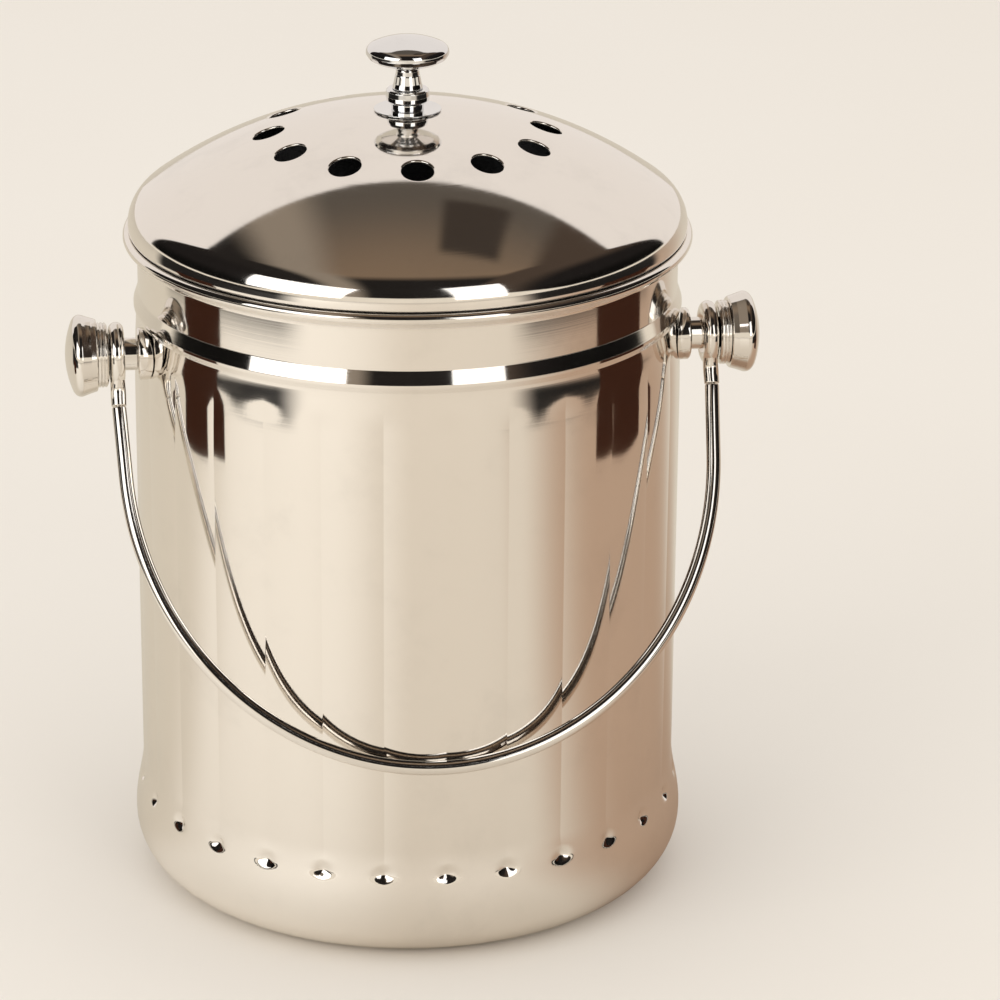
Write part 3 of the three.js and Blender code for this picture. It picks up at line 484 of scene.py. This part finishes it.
def dome_skin():
    """The crown inside the vents, the twelve vent patches, and the outer zone with its shoulder
    arc, hem and inner face."""
    inner_r = DOME_R - DOME_SHEET
    seat = DOME_Z + math.sqrt(DOME_R ** 2 - KNOB_FLAT_R ** 2)
    rim_angle = angle_at(BAND_OUT, DOME_R)
    crown = np.vstack([
        arc(0, DOME_Z, inner_r, angle_at(BAND_IN, DOME_R), angle_at(12.4, DOME_R), 6),
        [
            [KNOB_FLAT_R, seat - DOME_SHEET],
            [BORE_R, seat - DOME_SHEET],
            [BORE_R, seat],
            [KNOB_FLAT_R - 0.3, seat],
        ],
        arc(0, DOME_Z, DOME_R, angle_at(12.0, DOME_R), angle_at(BAND_IN, DOME_R), 10),
    ])
    outer = np.vstack([
        arc(0, DOME_Z, DOME_R, rim_angle, SHOULDER_START, 16),
        arc(*SHOULDER_AT, SHOULDER_ARC_R, SHOULDER_START, 0, 22)[1:],
        arc(EDGE_R - DOME_SHEET, HEM_Z, DOME_SHEET, 0, -180, 10),
        [[EDGE_R - 2 * DOME_SHEET, 224.9], [EDGE_R - DOME_SHEET - 0.1, 225.2]],
        arc(*SHOULDER_AT, SHOULDER_ARC_R - DOME_SHEET, 12, SHOULDER_START, 10),
        arc(0, DOME_Z, inner_r, SHOULDER_START, rim_angle, 8)[1:],
    ])
    middles = -np.pi / 2 + VENT_TURN + np.arange(VENTS) * 2 * np.pi / VENTS
    return [dome_turned(crown), dome_turned(outer)] + [vent_patch(m) for m in middles]


skin("lid_dome_shell", dome_skin(), "lid", ["lid_dome"], mirror_steel)

# Locating skirt and filter cup
# Two rings of plain satin sheet, spot-welded to the underside of the dome: the skirt centres the
# lid in the mouth, and the cup holds the filter under the vents.


def under_dome(radius, depth):
    """Height of the dome's underside at a distance from the axis, less a depth square to it."""
    return DOME_Z + math.sqrt((DOME_R - DOME_SHEET - depth) ** 2 - radius ** 2)


SKIRT_OUTER_R, SKIRT_INNER_R, SKIRT_FLANGE_R = 85.2, 84.4, 80.2
SKIRT_MIDDLE_R = 84.8
SKIRT_Z = 213.0
CUP_OUTER_R, CUP_INNER_R, CUP_FLANGE_R = 62.0, 61.2, 66.0
CUP_MIDDLE_R = 61.6
CUP_Z = 229.82
FLANGE_TOP, FLANGE_UNDER = 0.3, 1.1

sheet_steel = polished_steel(
    "sheet_steel", (0.62, 0.61, 0.59), roughness=0.28, lines=900, streaks=30,
    line_height=4e-6, mark_roughness=0.12,
)

skirt = eased([
    (SKIRT_MIDDLE_R, SKIRT_Z, 0),
    (SKIRT_OUTER_R, SKIRT_Z, 0.35),
    (SKIRT_OUTER_R, under_dome(SKIRT_OUTER_R, FLANGE_TOP), 0.3),
    (SKIRT_FLANGE_R, under_dome(SKIRT_FLANGE_R, FLANGE_TOP), 0.15),
    (SKIRT_FLANGE_R, under_dome(SKIRT_FLANGE_R, FLANGE_UNDER), 0.15),
    (SKIRT_INNER_R, under_dome(SKIRT_INNER_R, FLANGE_UNDER), 0.8),
    (SKIRT_INNER_R, SKIRT_Z, 0.35),
    (SKIRT_MIDDLE_R, SKIRT_Z, 0),
])
skin(
    "locating_skirt_ring", [turned(skirt, 192)],
    "lid", ["lid_locating_skirt"], sheet_steel,
)

cup = eased([
    (CUP_MIDDLE_R, CUP_Z, 0),
    (CUP_OUTER_R, CUP_Z, 0.3),
    (CUP_OUTER_R, under_dome(CUP_OUTER_R, FLANGE_UNDER), 0.8),
    (CUP_FLANGE_R, under_dome(CUP_FLANGE_R, FLANGE_UNDER), 0.15),
    (CUP_FLANGE_R, under_dome(CUP_FLANGE_R, FLANGE_TOP), 0.15),
    (CUP_INNER_R, under_dome(CUP_INNER_R, FLANGE_TOP), 0.5),
    (CUP_INNER_R, CUP_Z, 0.3),
    (CUP_MIDDLE_R, CUP_Z, 0),
])
skin("filter_cup_ring", [turned(cup, 160)], "lid", ["filter_cup"], sheet_steel)

# Filter pads
# Two discs of charcoal-filled felt, soft at the edge and slightly uneven, one on the other
# in the cup.

PAD_EDGE_R = 1.2
PAD_EDGE_AT = 59.4
PAD_FACE_R = 59.2
PAD_THICKNESS = 4.5
PAD_LOWER_Z, PAD_UPPER_Z = 233.32, 238.12


def felt_material():
    """Matt felt: matted fibres from one distorted noise, which also shades it between darker and
    paler fibre.
    """
    material, nodes, links, shader, position = new_material(
        "charcoal_felt", (0.022, 0.022, 0.023), 0, 0.95,
    )
    mat = nodes.new("ShaderNodeTexNoise")
    mat.inputs["Scale"].default_value = 900
    mat.inputs["Detail"].default_value = 6
    mat.inputs["Distortion"].default_value = 1.2
    links.new(position, mat.inputs["Vector"])
    shade = nodes.new("ShaderNodeMapRange")
    shade.inputs["From Min"].default_value = 0.35
    shade.inputs["From Max"].default_value = 0.75
    links.new(mat.outputs["Fac"], shade.inputs["Value"])
    tint = nodes.new("ShaderNodeMix")
    tint.data_type = "RGBA"
    tint.inputs["A"].default_value = (0.014, 0.014, 0.015, 1)
    tint.inputs["B"].default_value = (0.06, 0.06, 0.062, 1)
    links.new(shade.outputs[0], tint.inputs["Factor"])
    links.new(tint.outputs["Result"], shader.inputs["Base Color"])
    relief = nodes.new("ShaderNodeBump")
    relief.inputs["Distance"].default_value = 0.0004
    relief.inputs["Strength"].default_value = 0.9
    links.new(mat.outputs["Fac"], relief.inputs["Height"])
    links.new(relief.outputs[0], shader.inputs["Normal"])
    return material


charcoal_felt = felt_material()


def pad_skin(base, start):
    """A disc with a round edge whose two faces sink in by a few tenths of a millimetre, as a sum
    of slow waves that begin at a given angle and vanish at the edge."""
    outline = np.vstack([
        np.stack([np.linspace(0, PAD_FACE_R, 22), np.zeros(22)], axis=1),
        arc(PAD_EDGE_AT, PAD_EDGE_R, PAD_EDGE_R, -80, 0, 5),
        arc(PAD_EDGE_AT, PAD_THICKNESS - PAD_EDGE_R, PAD_EDGE_R, 0, 80, 5),
        np.stack([np.linspace(PAD_FACE_R, 0, 22), np.full(22, PAD_THICKNESS)], axis=1),
    ])
    grid = turned(outline, 120, shift=base)
    x, y = grid[..., 0] / MM, grid[..., 1] / MM
    wave = np.sin(x / 9 + start) * np.cos(y / 11 - start)
    wave = wave + 0.5 * np.sin((x + y) / 6 + 2 * start)
    still = np.clip(1 - (np.hypot(x, y) / 59) ** 4, 0, 1)
    inward = np.where(outline[:, 1:] > PAD_THICKNESS / 2, -1, 1)
    grid[..., 2] += inward * (0.22 + 0.13 * wave) * still * MM
    return grid


for place, base, start in (("lower", PAD_LOWER_Z, 0.4), ("upper", PAD_UPPER_Z, 2.1)):
    skin(
        f"filter_pad_{place}_felt", [pad_skin(base, start)],
        "filter_set", [f"filter_pad_{place}"], charcoal_felt,
    )

# Filter retainer
# A moulded black plastic ring with four spokes and a pull tab, pushed into the cup by hand. It
# keeps its solid from the frame.


def moulded_plastic():
    """Black plastic with the fine even grain of a spark-finished mould."""
    material, nodes, links, shader, position = new_material(
        "black_plastic", (0.02, 0.02, 0.021), 0, 0.45,
    )
    grain = nodes.new("ShaderNodeTexNoise")
    grain.inputs["Scale"].default_value = 2600
    grain.inputs["Detail"].default_value = 2
    links.new(position, grain.inputs["Vector"])
    relief = nodes.new("ShaderNodeBump")
    relief.inputs["Distance"].default_value = 0.00005
    relief.inputs["Strength"].default_value = 0.6
    links.new(grain.outputs["Fac"], relief.inputs["Height"])
    links.new(relief.outputs[0], shader.inputs["Normal"])
    gloss = nodes.new("ShaderNodeMapRange")
    gloss.inputs["To Min"].default_value = 0.36
    gloss.inputs["To Max"].default_value = 0.56
    links.new(grain.outputs["Fac"], gloss.inputs["Value"])
    links.new(gloss.outputs[0], shader.inputs["Roughness"])
    return material


black_plastic = moulded_plastic()


def dress(nodes, material):
    """Puts a material on solids of the frame that stay as they are."""
    for name in nodes:
        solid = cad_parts[name]
        solid.data.materials.clear()
        solid.data.materials.append(material)


dress(["filter_retainer"], black_plastic)

# Lid knob
# Turned and chromed: a thin saucer washer on the dome, a collar with a low barrel side, and a
# waisted stem that spreads into a low mushroom cap with a round edge.

KNOB_FLAT_Z = 260.44
KNOB_COLLAR_Z = 260.94
KNOB_Z = 267.74

knob_chrome = polished_steel(
    "knob_chrome", (0.86, 0.865, 0.875), roughness=0.03, lines=2200, streaks=40,
    line_height=4e-7, mark_roughness=0.03,
)

washer = eased([
    (BORE_R, 0, 0.1), (6, 0, 1.5), (10.6, 0.22, 0.15), (10.9, 0.4, 0.14), (10.8, 0.72, 0.14),
    (6, 0.5, 1.5), (BORE_R, 0.5, 0.1), (BORE_R, 0, 0),
])
washer = np.vstack([washer, washer[:1]])
skin(
    "saucer_washer", [turned(washer, 96, shift=KNOB_FLAT_Z)],
    "lid", ["lid_knob_washer"], knob_chrome,
)

collar = eased([
    (BORE_R, 0, 0), (5.0, 0, 0.15), (5.3, 0.3, 0.2), (5.3, 2.25, 0.15), (6.3, 2.4, 0.2),
    (6.95, 3.1, 0.5), (7.1, 4.6, 1.5), (6.9, 6.2, 0.4), (6.4, 6.75, 0.3), (BORE_R, 6.8, 0),
    (BORE_R, 0, 0),
])
skin(
    "knob_collar", [turned(collar, 96, shift=KNOB_COLLAR_Z)],
    "lid", ["lid_knob_collar"], knob_chrome,
)

stem = eased([
    (0, 6, 0), (2, 6, 0), (2, 0, 0), (4.75, 0, 0.12), (4.9, 0.3, 0.2), (4.5, 1.7, 2),
    (4.0, 4.25, 0.25), (3.85, 4.6, 0.25), (3.75, 5.9, 1), (4.1, 7.0, 0.9), (6.2, 7.75, 1.5),
    (10.2, 8.85, 2.5), (12.4, 10.05, 1.2), (13.3, 11.45, 1.0), (13.3, 11.95, 0),
])
cap_edge = arc(10.7, 11.95, 2.6, 2, 64.7, 12)
cap_crown = arc(0, -10.7, 27.65, 65.5, 90, 14)
cap_crown[-1, 0] = 0
knob = np.vstack([stem, cap_edge, cap_crown])
skin(
    "mushroom_knob", [turned(knob, 120, shift=KNOB_Z)],
    "lid", ["lid_knob"], knob_chrome,
)

# Screws and flat washers
# Zinc-plated pan-head screws and flat washers: one under the dome holds the knob, and one inside
# each wall holds a pivot. They keep their solids from the frame.

screw_steel = polished_steel(
    "screw_steel", (0.58, 0.575, 0.56), roughness=0.3, lines=2600, streaks=300,
    line_height=2e-6, mark_roughness=0.15,
)
dress([
    "lid_screw", "lid_screw_washer", "pivot_screw_left", "pivot_screw_right",
    "pivot_washer_left", "pivot_washer_right",
], screw_steel)

# Side pivots
# On each side a screw clamps four turned pieces to the wall: a collar, a bush that the bail's eye
# turns on, a disc, and a round knob with a crowned face whose side narrows towards the back.

PIVOT_Y, PIVOT_Z = -19, 188
COLLAR_X, BUSH_X, DISC_X, PIVOT_KNOB_X = 86.9, 89.3, 98.7, 102.2
COLLAR_ROOT = 3.5
SADDLE_R = 88.85
FACE_R = 11.4
FACE_TOP = 10.1

bright_steel = polished_steel(
    "bright_steel", (0.86, 0.83, 0.79), roughness=0.06, lines=2000, streaks=60,
    line_height=1.2e-6, mark_roughness=0.06,
)

pivot_collar = eased([
    (BORE_R, -COLLAR_ROOT, 0), (8.3, -COLLAR_ROOT, 0), (8.4, 0.12 - COLLAR_ROOT, 0),
    (8.4, 1.85, 0.4), (7.9, 2.4, 0.3), (5.9, 2.4, 0.1), (5.6, 2.3, 0.1), (BORE_R, 2.3, 0),
    (BORE_R, -COLLAR_ROOT, 0),
])
pivot_bush = eased([
    (BORE_R, 0, 0), (5.0, 0, 0.15), (5.2, 0.25, 0.15), (5.2, 9.1, 0.2), (4.9, 9.4, 0.15),
    (BORE_R, 9.4, 0), (BORE_R, 0, 0),
])
pivot_disc = eased([
    (BORE_R, 0, 0), (9.3, 0, 0.4), (10.2, 0.5, 0.3), (10.4, 1.0, 0.15), (10.1, 1.2, 0.1),
    (10.1, 1.4, 0.1), (10.4, 1.6, 0.12), (10.4, 2.1, 0.12), (10.1, 2.3, 0.1), (10.1, 2.5, 0.1),
    (10.4, 2.7, 0.12), (10.3, 3.3, 0.15), (10.0, 3.5, 0.15), (BORE_R, 3.5, 0), (BORE_R, 0, 0),
])
knob_side = eased([
    (0, 5, 0), (2, 5, 0), (2, 0, 0), (11.3, 0, 0.2), (11.6, 0.3, 0.3), (12.1, 2.0, 3),
    (13.1, 4.9, 1.5), (13.1, 5.3, 0),
])
knob_edge = arc(10.6, 5.3, 2.5, 4, 62, 12)
face_r = np.linspace(FACE_R, 0, 18)
knob_face = np.stack([face_r, FACE_TOP - 2.44 * (face_r / 11.7) ** 2], axis=1)
pivot_knob = np.vstack([knob_side, knob_edge, knob_face])


def seated(grid):
    """The collar with its inner face hollowed to the round of the wall that it sits on: what
    lies inside the wall's circle comes out to it."""
    across = grid[..., 1] / MM + PIVOT_Y
    wall = np.sqrt(SADDLE_R ** 2 - across ** 2) * MM
    x = grid[..., 0]
    grid[..., 0] = np.where(x < wall, wall + x - (COLLAR_X - COLLAR_ROOT) * MM, x)
    return grid


for side, flip in (("left", -1), ("right", 1)):
    for piece, outline, at in (
        ("collar", pivot_collar, COLLAR_X),
        ("bush", pivot_bush, BUSH_X),
        ("disc", pivot_disc, DISC_X),
        ("knob", pivot_knob, PIVOT_KNOB_X),
    ):
        grid = turned(outline, 96, axis="x", shift=at)
        if piece == "collar":
            grid = seated(grid)
        grid = grid * [flip, 1, 1] + [0, PIVOT_Y * MM, PIVOT_Z * MM]
        skin(
            f"pivot_{piece}_{side}_turned", [grid],
            "pail", [f"pivot_{piece}_{side}"], bright_steel,
        )

# Bail eyes
# A short forged eye brazed to each end of the bail: a round wire ring on the bush, and a shank
# that swells into the ring and meets the rod at a fine shoulder.

BAIL_X = 95.9
LEAN = math.radians(31.82)
WIRE_R = 2.45
RING_R = 7.95
SHANK_START, SHANK_END = 7.1, 17.0


def leaned(x, outward, down):
    """From the bail's own plane to the part: down the bail from the pivot axis, tilted forward."""
    y = outward * math.cos(LEAN) - down * math.sin(LEAN) + PIVOT_Y
    z = -outward * math.sin(LEAN) - down * math.cos(LEAN) + PIVOT_Z
    return np.stack(np.broadcast_arrays(x, y, z), axis=-1) * MM


def eye_skins(flip):
    """The ring is a round tube about x. The shank is an oval tube down the bail whose width in
    the ring's plane flares as it nears the ring."""
    around = np.linspace(0, 2 * np.pi, 73)[:, None]
    tube = np.linspace(0, 2 * np.pi, 33)
    reach = RING_R + WIRE_R * np.cos(tube)
    ring = leaned(
        flip * BAIL_X + WIRE_R * np.sin(tube),
        reach * np.sin(around),
        -reach * np.cos(around),
    )
    down = np.concatenate([
        [SHANK_START, SHANK_START, 7.8, 8.4],
        np.linspace(8.8, 14, 14),
        [15.2, 16.4, 16.75, 16.88, 16.97, SHANK_END, SHANK_END],
    ])[:, None]
    thick = np.interp(down, [SHANK_START, 13, SHANK_END], [2.3, 2.5, 2.4])
    flare = 2.6 * np.clip((13.8 - down) / 5.0, 0, 1.2) ** 2
    shrink = np.ones_like(down)
    shrink[0] = 0
    shrink[-5:, 0] = [1, 0.985, 0.955, 0.9, 0]
    shank = leaned(
        flip * BAIL_X + thick * shrink * np.sin(tube),
        (thick + flare) * shrink * np.cos(tube),
        down,
    )
    return [ring, shank]


for side, flip in (("left", -1), ("right", 1)):
    skin(
        f"bail_eye_{side}_forged", eye_skins(flip),
        "bail", [f"bail_eye_{side}"], bright_steel,
    )

# Bail
# One length of round bright steel rod, bent into a deep bow between the two eyes and pushed into
# them by a thin spigot at each end.

BOW_HALF = 94.9
BOW_DEPTH = 102.9
BOW_MIDDLE = 35.0
BOW_POINTS = 161
ROD_TOP = 17.3
ROD_R = 2.3
SPIGOT_LENGTH = 4
SPIGOT_R = 1.2


def rod_skin():
    """A round outline carried along half an ellipse and, above it, along the two straight lines
    that touch it and end at the eyes, with a rounded end and a thin spigot at each end."""
    side, rise = BAIL_X / BOW_HALF, (ROD_TOP - BOW_MIDDLE) / BOW_DEPTH
    start = math.atan2(rise, side) + math.acos(1 / math.hypot(side, rise))
    bow = np.linspace(start, np.pi - start, BOW_POINTS)
    bow_x, bow_down = -BOW_HALF * np.cos(bow), BOW_MIDDLE + BOW_DEPTH * np.sin(bow)
    slope = (BAIL_X + bow_x[0]) / (bow_down[0] - ROD_TOP)
    legs = ROD_TOP + np.array([-SPIGOT_LENGTH, -SPIGOT_LENGTH, 0, 0, 0.1, 0.25, 0.6, 5, 13])
    legs_x = -BAIL_X + slope * (legs - ROD_TOP)
    x = np.concatenate([legs_x, bow_x, -legs_x[::-1]])
    down = np.concatenate([legs, bow_down, legs[::-1]])
    rounding = ROD_R - np.array([0.25, 0.1, 0.02, 0, 0, 0])
    ends = np.concatenate([[0, SPIGOT_R, SPIGOT_R], rounding])
    radius = np.concatenate([ends, np.full(BOW_POINTS, ROD_R), ends[::-1]])[:, None]
    lean_x, straight = np.full(len(legs), slope), np.ones(len(legs))
    along_x = np.concatenate([lean_x, BOW_HALF * np.sin(bow), lean_x])
    along_down = np.concatenate([straight, BOW_DEPTH * np.cos(bow), -straight])
    length = np.hypot(along_x, along_down)
    across_x, across_down = (-along_down / length)[:, None], (along_x / length)[:, None]
    tube = np.linspace(0, 2 * np.pi, 33)
    return leaned(
        x[:, None] + radius * np.cos(tube) * across_x,
        radius * np.sin(tube),
        down[:, None] + radius * np.cos(tube) * across_down,
    )


skin("bail_rod_bent", [rod_skin()], "bail", ["bail_rod"], bright_steel)

# Camera
# A long lens, a little above the pail and slightly to its left.

CAMERA_TURN = math.radians(-6.5)
CAMERA_RISE = math.radians(21.68)
CAMERA_DISTANCE = 1.5
CAMERA_AIM_Z = 0.11
camera_data = bpy.data.cameras.new("camera")
camera = bpy.data.objects.new("camera", camera_data)
bpy.context.scene.collection.objects.link(camera)
camera.location = (
    CAMERA_DISTANCE * math.sin(CAMERA_TURN) * math.cos(CAMERA_RISE),
    -CAMERA_DISTANCE * math.cos(CAMERA_TURN) * math.cos(CAMERA_RISE),
    CAMERA_AIM_Z + CAMERA_DISTANCE * math.sin(CAMERA_RISE),
)
camera.rotation_euler = (math.pi / 2 - CAMERA_RISE, 0, CAMERA_TURN)
camera_data.sensor_width = 36
camera_data.lens = 162.5
camera_data.shift_x = 0.0924
camera_data.shift_y = 0.0467
bpy.context.scene.camera = camera

# Floor
# A plain pale board that the pail stands on. To glossy rays its colour is a painted reflection of a
# room.

FLOOR_REACH = 8
FLOOR_Z = -0.0002
# Distances from the pail over which the painted reflection on the floor turns nearly black.
PAINTED_DARK_FROM, PAINTED_DARK_FULL = 0.665, 0.735


def seen_from_pail(turn, distance, height):
    """A place at an angle from the camera's side, positive to its right."""
    x, y = distance * math.sin(turn), -distance * math.cos(turn)
    return (
        x * math.cos(CAMERA_TURN) - y * math.sin(CAMERA_TURN),
        x * math.sin(CAMERA_TURN) + y * math.cos(CAMERA_TURN),
        height,
    )


def stage_panel(name, corners, material):
    """A flat four-cornered panel."""
    mesh = bpy.data.meshes.new(name)
    mesh.from_pydata(corners, [], [(0, 1, 2, 3)])
    mesh.materials.append(material)
    panel = bpy.data.objects.new(name, mesh)
    bpy.context.scene.collection.objects.link(panel)
    panel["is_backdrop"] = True
    return panel


def node_makers(nodes, links):
    """Functions that add a node and give its output: a colour between two, a smooth rise over a
    range of values, a math operation on two values, and the length of a direction along an axis."""

    def join(value, socket):
        if isinstance(value, tuple):
            socket.default_value = (*value, 1)
        elif isinstance(value, (int, float)):
            socket.default_value = value
        else:
            links.new(value, socket)

    def mix(factor, first, second):
        node = nodes.new("ShaderNodeMix")
        node.data_type = "RGBA"
        for name, value in (("Factor", factor), ("A", first), ("B", second)):
            join(value, node.inputs[name])
        return node.outputs["Result"]

    def ramp(value, low, high, to_low=0, to_high=1):
        node = nodes.new("ShaderNodeMapRange")
        node.interpolation_type = "SMOOTHSTEP"
        names = ("Value", "From Min", "From Max", "To Min", "To Max")
        for name, given in zip(names, (value, low, high, to_low, to_high)):
            join(given, node.inputs[name])
        return node.outputs[0]

    def combined(operation, first, second):
        node = nodes.new("ShaderNodeMath")
        node.operation = operation
        join(first, node.inputs[0])
        join(second, node.inputs[1])
        return node.outputs[0]

    def along(direction, axis):
        node = nodes.new("ShaderNodeVectorMath")
        node.operation = "DOT_PRODUCT"
        links.new(direction, node.inputs[0])
        node.inputs[1].default_value = axis
        return node.outputs["Value"]

    return mix, ramp, combined, along


def floor_material():
    """Matt pale board with a barely visible mottle. The polish sees a painted reflection on it
    instead:
    lighter in front on the left, a warm brown on the right, and nearly black far out on both sides."""
    material, nodes, links, shader, position = new_material(
        "pale_floor", (0.90, 0.85, 0.79), 0, 0.7,
    )
    mix, ramp, combined, along = node_makers(nodes, links)

    def side(turn, low, high):
        axis = seen_from_pail(math.radians(turn), 1, 0)
        return ramp(along(outward.outputs[0], axis), low, high)

    mottle = nodes.new("ShaderNodeTexNoise")
    mottle.inputs["Scale"].default_value = 3
    links.new(position, mottle.inputs["Vector"])
    board = mix(mottle.outputs["Fac"], (0.91, 0.865, 0.805), (0.89, 0.835, 0.765))
    outward = nodes.new("ShaderNodeVectorMath")
    outward.operation = "NORMALIZE"
    links.new(position, outward.inputs[0])
    far = nodes.new("ShaderNodeVectorMath")
    far.operation = "LENGTH"
    links.new(position, far.inputs[0])
    # Painted reflection: nearly black far out on both sides, standing in for a dark room.
    beside = combined("MULTIPLY", side(0, 0.78, 0.60), side(0, -0.50, -0.38))
    dark = combined("MULTIPLY", ramp(far.outputs["Value"], PAINTED_DARK_FROM, PAINTED_DARK_FULL), beside)
    # Painted reflection: a painted pool of light in front on the left, warm brown on the right,
    # paler behind on the left.
    polish = mix(side(-50, 0.6, 1), (0.73, 0.66, 0.565), (0.90, 0.845, 0.76))
    polish = mix(side(95, 0.55, 0.98), polish, (0.50, 0.35, 0.25))
    polish = mix(side(-150, 0.2, 0.9), polish, (0.70, 0.64, 0.54))
    polish = mix(dark, polish, (0.012, 0.010, 0.009))
    # Only glossy rays see the painted reflection; all other rays see the plain board.
    rays = nodes.new("ShaderNodeLightPath")
    links.new(mix(rays.outputs["Is Glossy Ray"], board, polish), shader.inputs["Base Color"])
    shader.inputs["Specular IOR Level"].default_value = 0.2
    return material


stage_panel("floor", [
    (-FLOOR_REACH, -FLOOR_REACH, FLOOR_Z),
    (FLOOR_REACH, -FLOOR_REACH, FLOOR_Z),
    (FLOOR_REACH, FLOOR_REACH, FLOOR_Z),
    (-FLOOR_REACH, FLOOR_REACH, FLOOR_Z),
], floor_material())

# Dark cards
# Two low upright cards beside the pail, seen only in its polish, that draw its sides.

CARD_DISTANCE = 0.39
CARD_BOTTOM, CARD_TOP = 0.047, 0.13

card_material, _, _, card_shader, _ = new_material("dark_card", (0.045, 0.018, 0.011), 0, 0.9)
card_shader.inputs["Specular IOR Level"].default_value = 0
for name, near, far in (("card_left", -77, -98), ("card_right", 78, 105)):
    corners = [
        seen_from_pail(math.radians(turn), CARD_DISTANCE, height)
        for turn, height in (
            (near, CARD_BOTTOM), (far, CARD_BOTTOM), (far, CARD_TOP), (near, CARD_TOP),
        )
    ]
    card = stage_panel(name, corners, card_material)
    card.visible_camera = False
    card.visible_diffuse = False
    card.visible_shadow = False

# Light
# A pale even studio: two soft lamps in front, a bright wall behind, and a dark ceiling that only
# the polish sees.

LAMP_AIM_Z = 0.2


def soft_lamp(name, turn, rise, distance, width, height, power):
    """A rectangular lamp at an angle from the camera's side, aimed at the pail."""
    lamp_data = bpy.data.lights.new(name, "AREA")
    lamp_data.shape = "RECTANGLE"
    lamp_data.size = width
    lamp_data.size_y = height
    lamp_data.energy = power
    lamp_data.color = (1, 0.985, 0.96)
    lamp = bpy.data.objects.new(name, lamp_data)
    bpy.context.scene.collection.objects.link(lamp)
    turn, rise = math.radians(turn), math.radians(rise)
    x, y, _ = seen_from_pail(turn, distance * math.cos(rise), 0)
    lamp.location = (x, y, LAMP_AIM_Z + distance * math.sin(rise))
    lamp.rotation_euler = (math.pi / 2 - rise, 0, math.atan2(-x, y) + math.pi)


soft_lamp("lamp_left", turn=-46, rise=22, distance=2.2, width=1.65, height=1.25, power=11)
soft_lamp("lamp_right", turn=29, rise=23, distance=2.2, width=0.82, height=1.5, power=5.5)


def studio_world():
    """Pale to the camera and to soft light. To the polish it is cream near the level in front,
    bright behind up to a level top edge, and dark above, with a brown glow overhead."""
    world = bpy.data.worlds.new("studio")
    bpy.context.scene.world = world
    world.use_nodes = True
    nodes, links = world.node_tree.nodes, world.node_tree.links
    nodes.clear()
    mix, ramp, combined, along = node_makers(nodes, links)
    direction = nodes.new("ShaderNodeTexCoord").outputs["Generated"]
    across = along(direction, (math.cos(CAMERA_TURN), math.sin(CAMERA_TURN), 0))
    away = along(direction, (-math.sin(CAMERA_TURN), math.cos(CAMERA_TURN), 0))
    up = along(direction, (0, 0, 1))
    to_side = combined("ABSOLUTE", across, 0)
    safe_away = combined("MAXIMUM", away, 0.001)
    rise = combined("DIVIDE", up, safe_away)
    swing = combined("DIVIDE", to_side, safe_away)
    behind = combined("MULTIPLY", ramp(rise, 1.60, 1.52), ramp(swing, 1.42, 1.34))
    low = ramp(combined("ADD", up, ramp(away, -0.85, -0.35, 0, 0.19)), 0.235, 0.20)
    ceiling = mix(ramp(away, -0.40, -0.04), (0.015, 0.0125, 0.011), (0.21, 0.145, 0.095))
    ceiling = mix(ramp(away, -0.04, 0.5), ceiling, (0.10, 0.083, 0.067))
    patch = combined("MULTIPLY", ramp(across, 0.09, 0.13), ramp(across, 0.33, 0.29))
    patch = combined("MULTIPLY", patch, ramp(away, 0.10, 0.16))
    patch = combined("MULTIPLY", patch, ramp(away, 0.46, 0.42))
    ceiling = mix(patch, ceiling, (0.048, 0.036, 0.028))
    ceiling = mix(ramp(across, 0.40, 0.46), ceiling, (0.068, 0.047, 0.034))
    ceiling = mix(ramp(across, -0.22, -0.36), ceiling, (0.27, 0.22, 0.17))
    ceiling = mix(ramp(across, -0.42, -0.53), ceiling, (0.018, 0.015, 0.013))
    ceiling = mix(ramp(to_side, 0.60, 0.80), ceiling, (0.012, 0.010, 0.009))
    outer = combined("SUBTRACT", to_side, up)
    ceiling = mix(ramp(outer, 0.5, 0.8), ceiling, (0.004, 0.0035, 0.003))
    sides = mix(low, ceiling, (0.84, 0.76, 0.64))
    seen = mix(behind, sides, (0.855, 0.79, 0.735))
    rays = nodes.new("ShaderNodeLightPath")
    plain = mix(rays.outputs["Is Camera Ray"], (0.92, 0.90, 0.87), (0.93, 0.89, 0.83))
    colour = mix(rays.outputs["Is Glossy Ray"], plain, seen)
    background = nodes.new("ShaderNodeBackground")
    links.new(colour, background.inputs["Color"])
    background.inputs["Strength"].default_value = 1
    output = nodes.new("ShaderNodeOutputWorld")
    links.new(background.outputs[0], output.inputs["Surface"])


studio_world()
bpy.context.scene.view_settings.view_transform = "Standard"


def plain(box):
    """A box as plain lists of numbers."""
    return [[float(v) for v in corner] for corner in box]


{"cad": plain(cad_box), "visual": plain(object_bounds())}
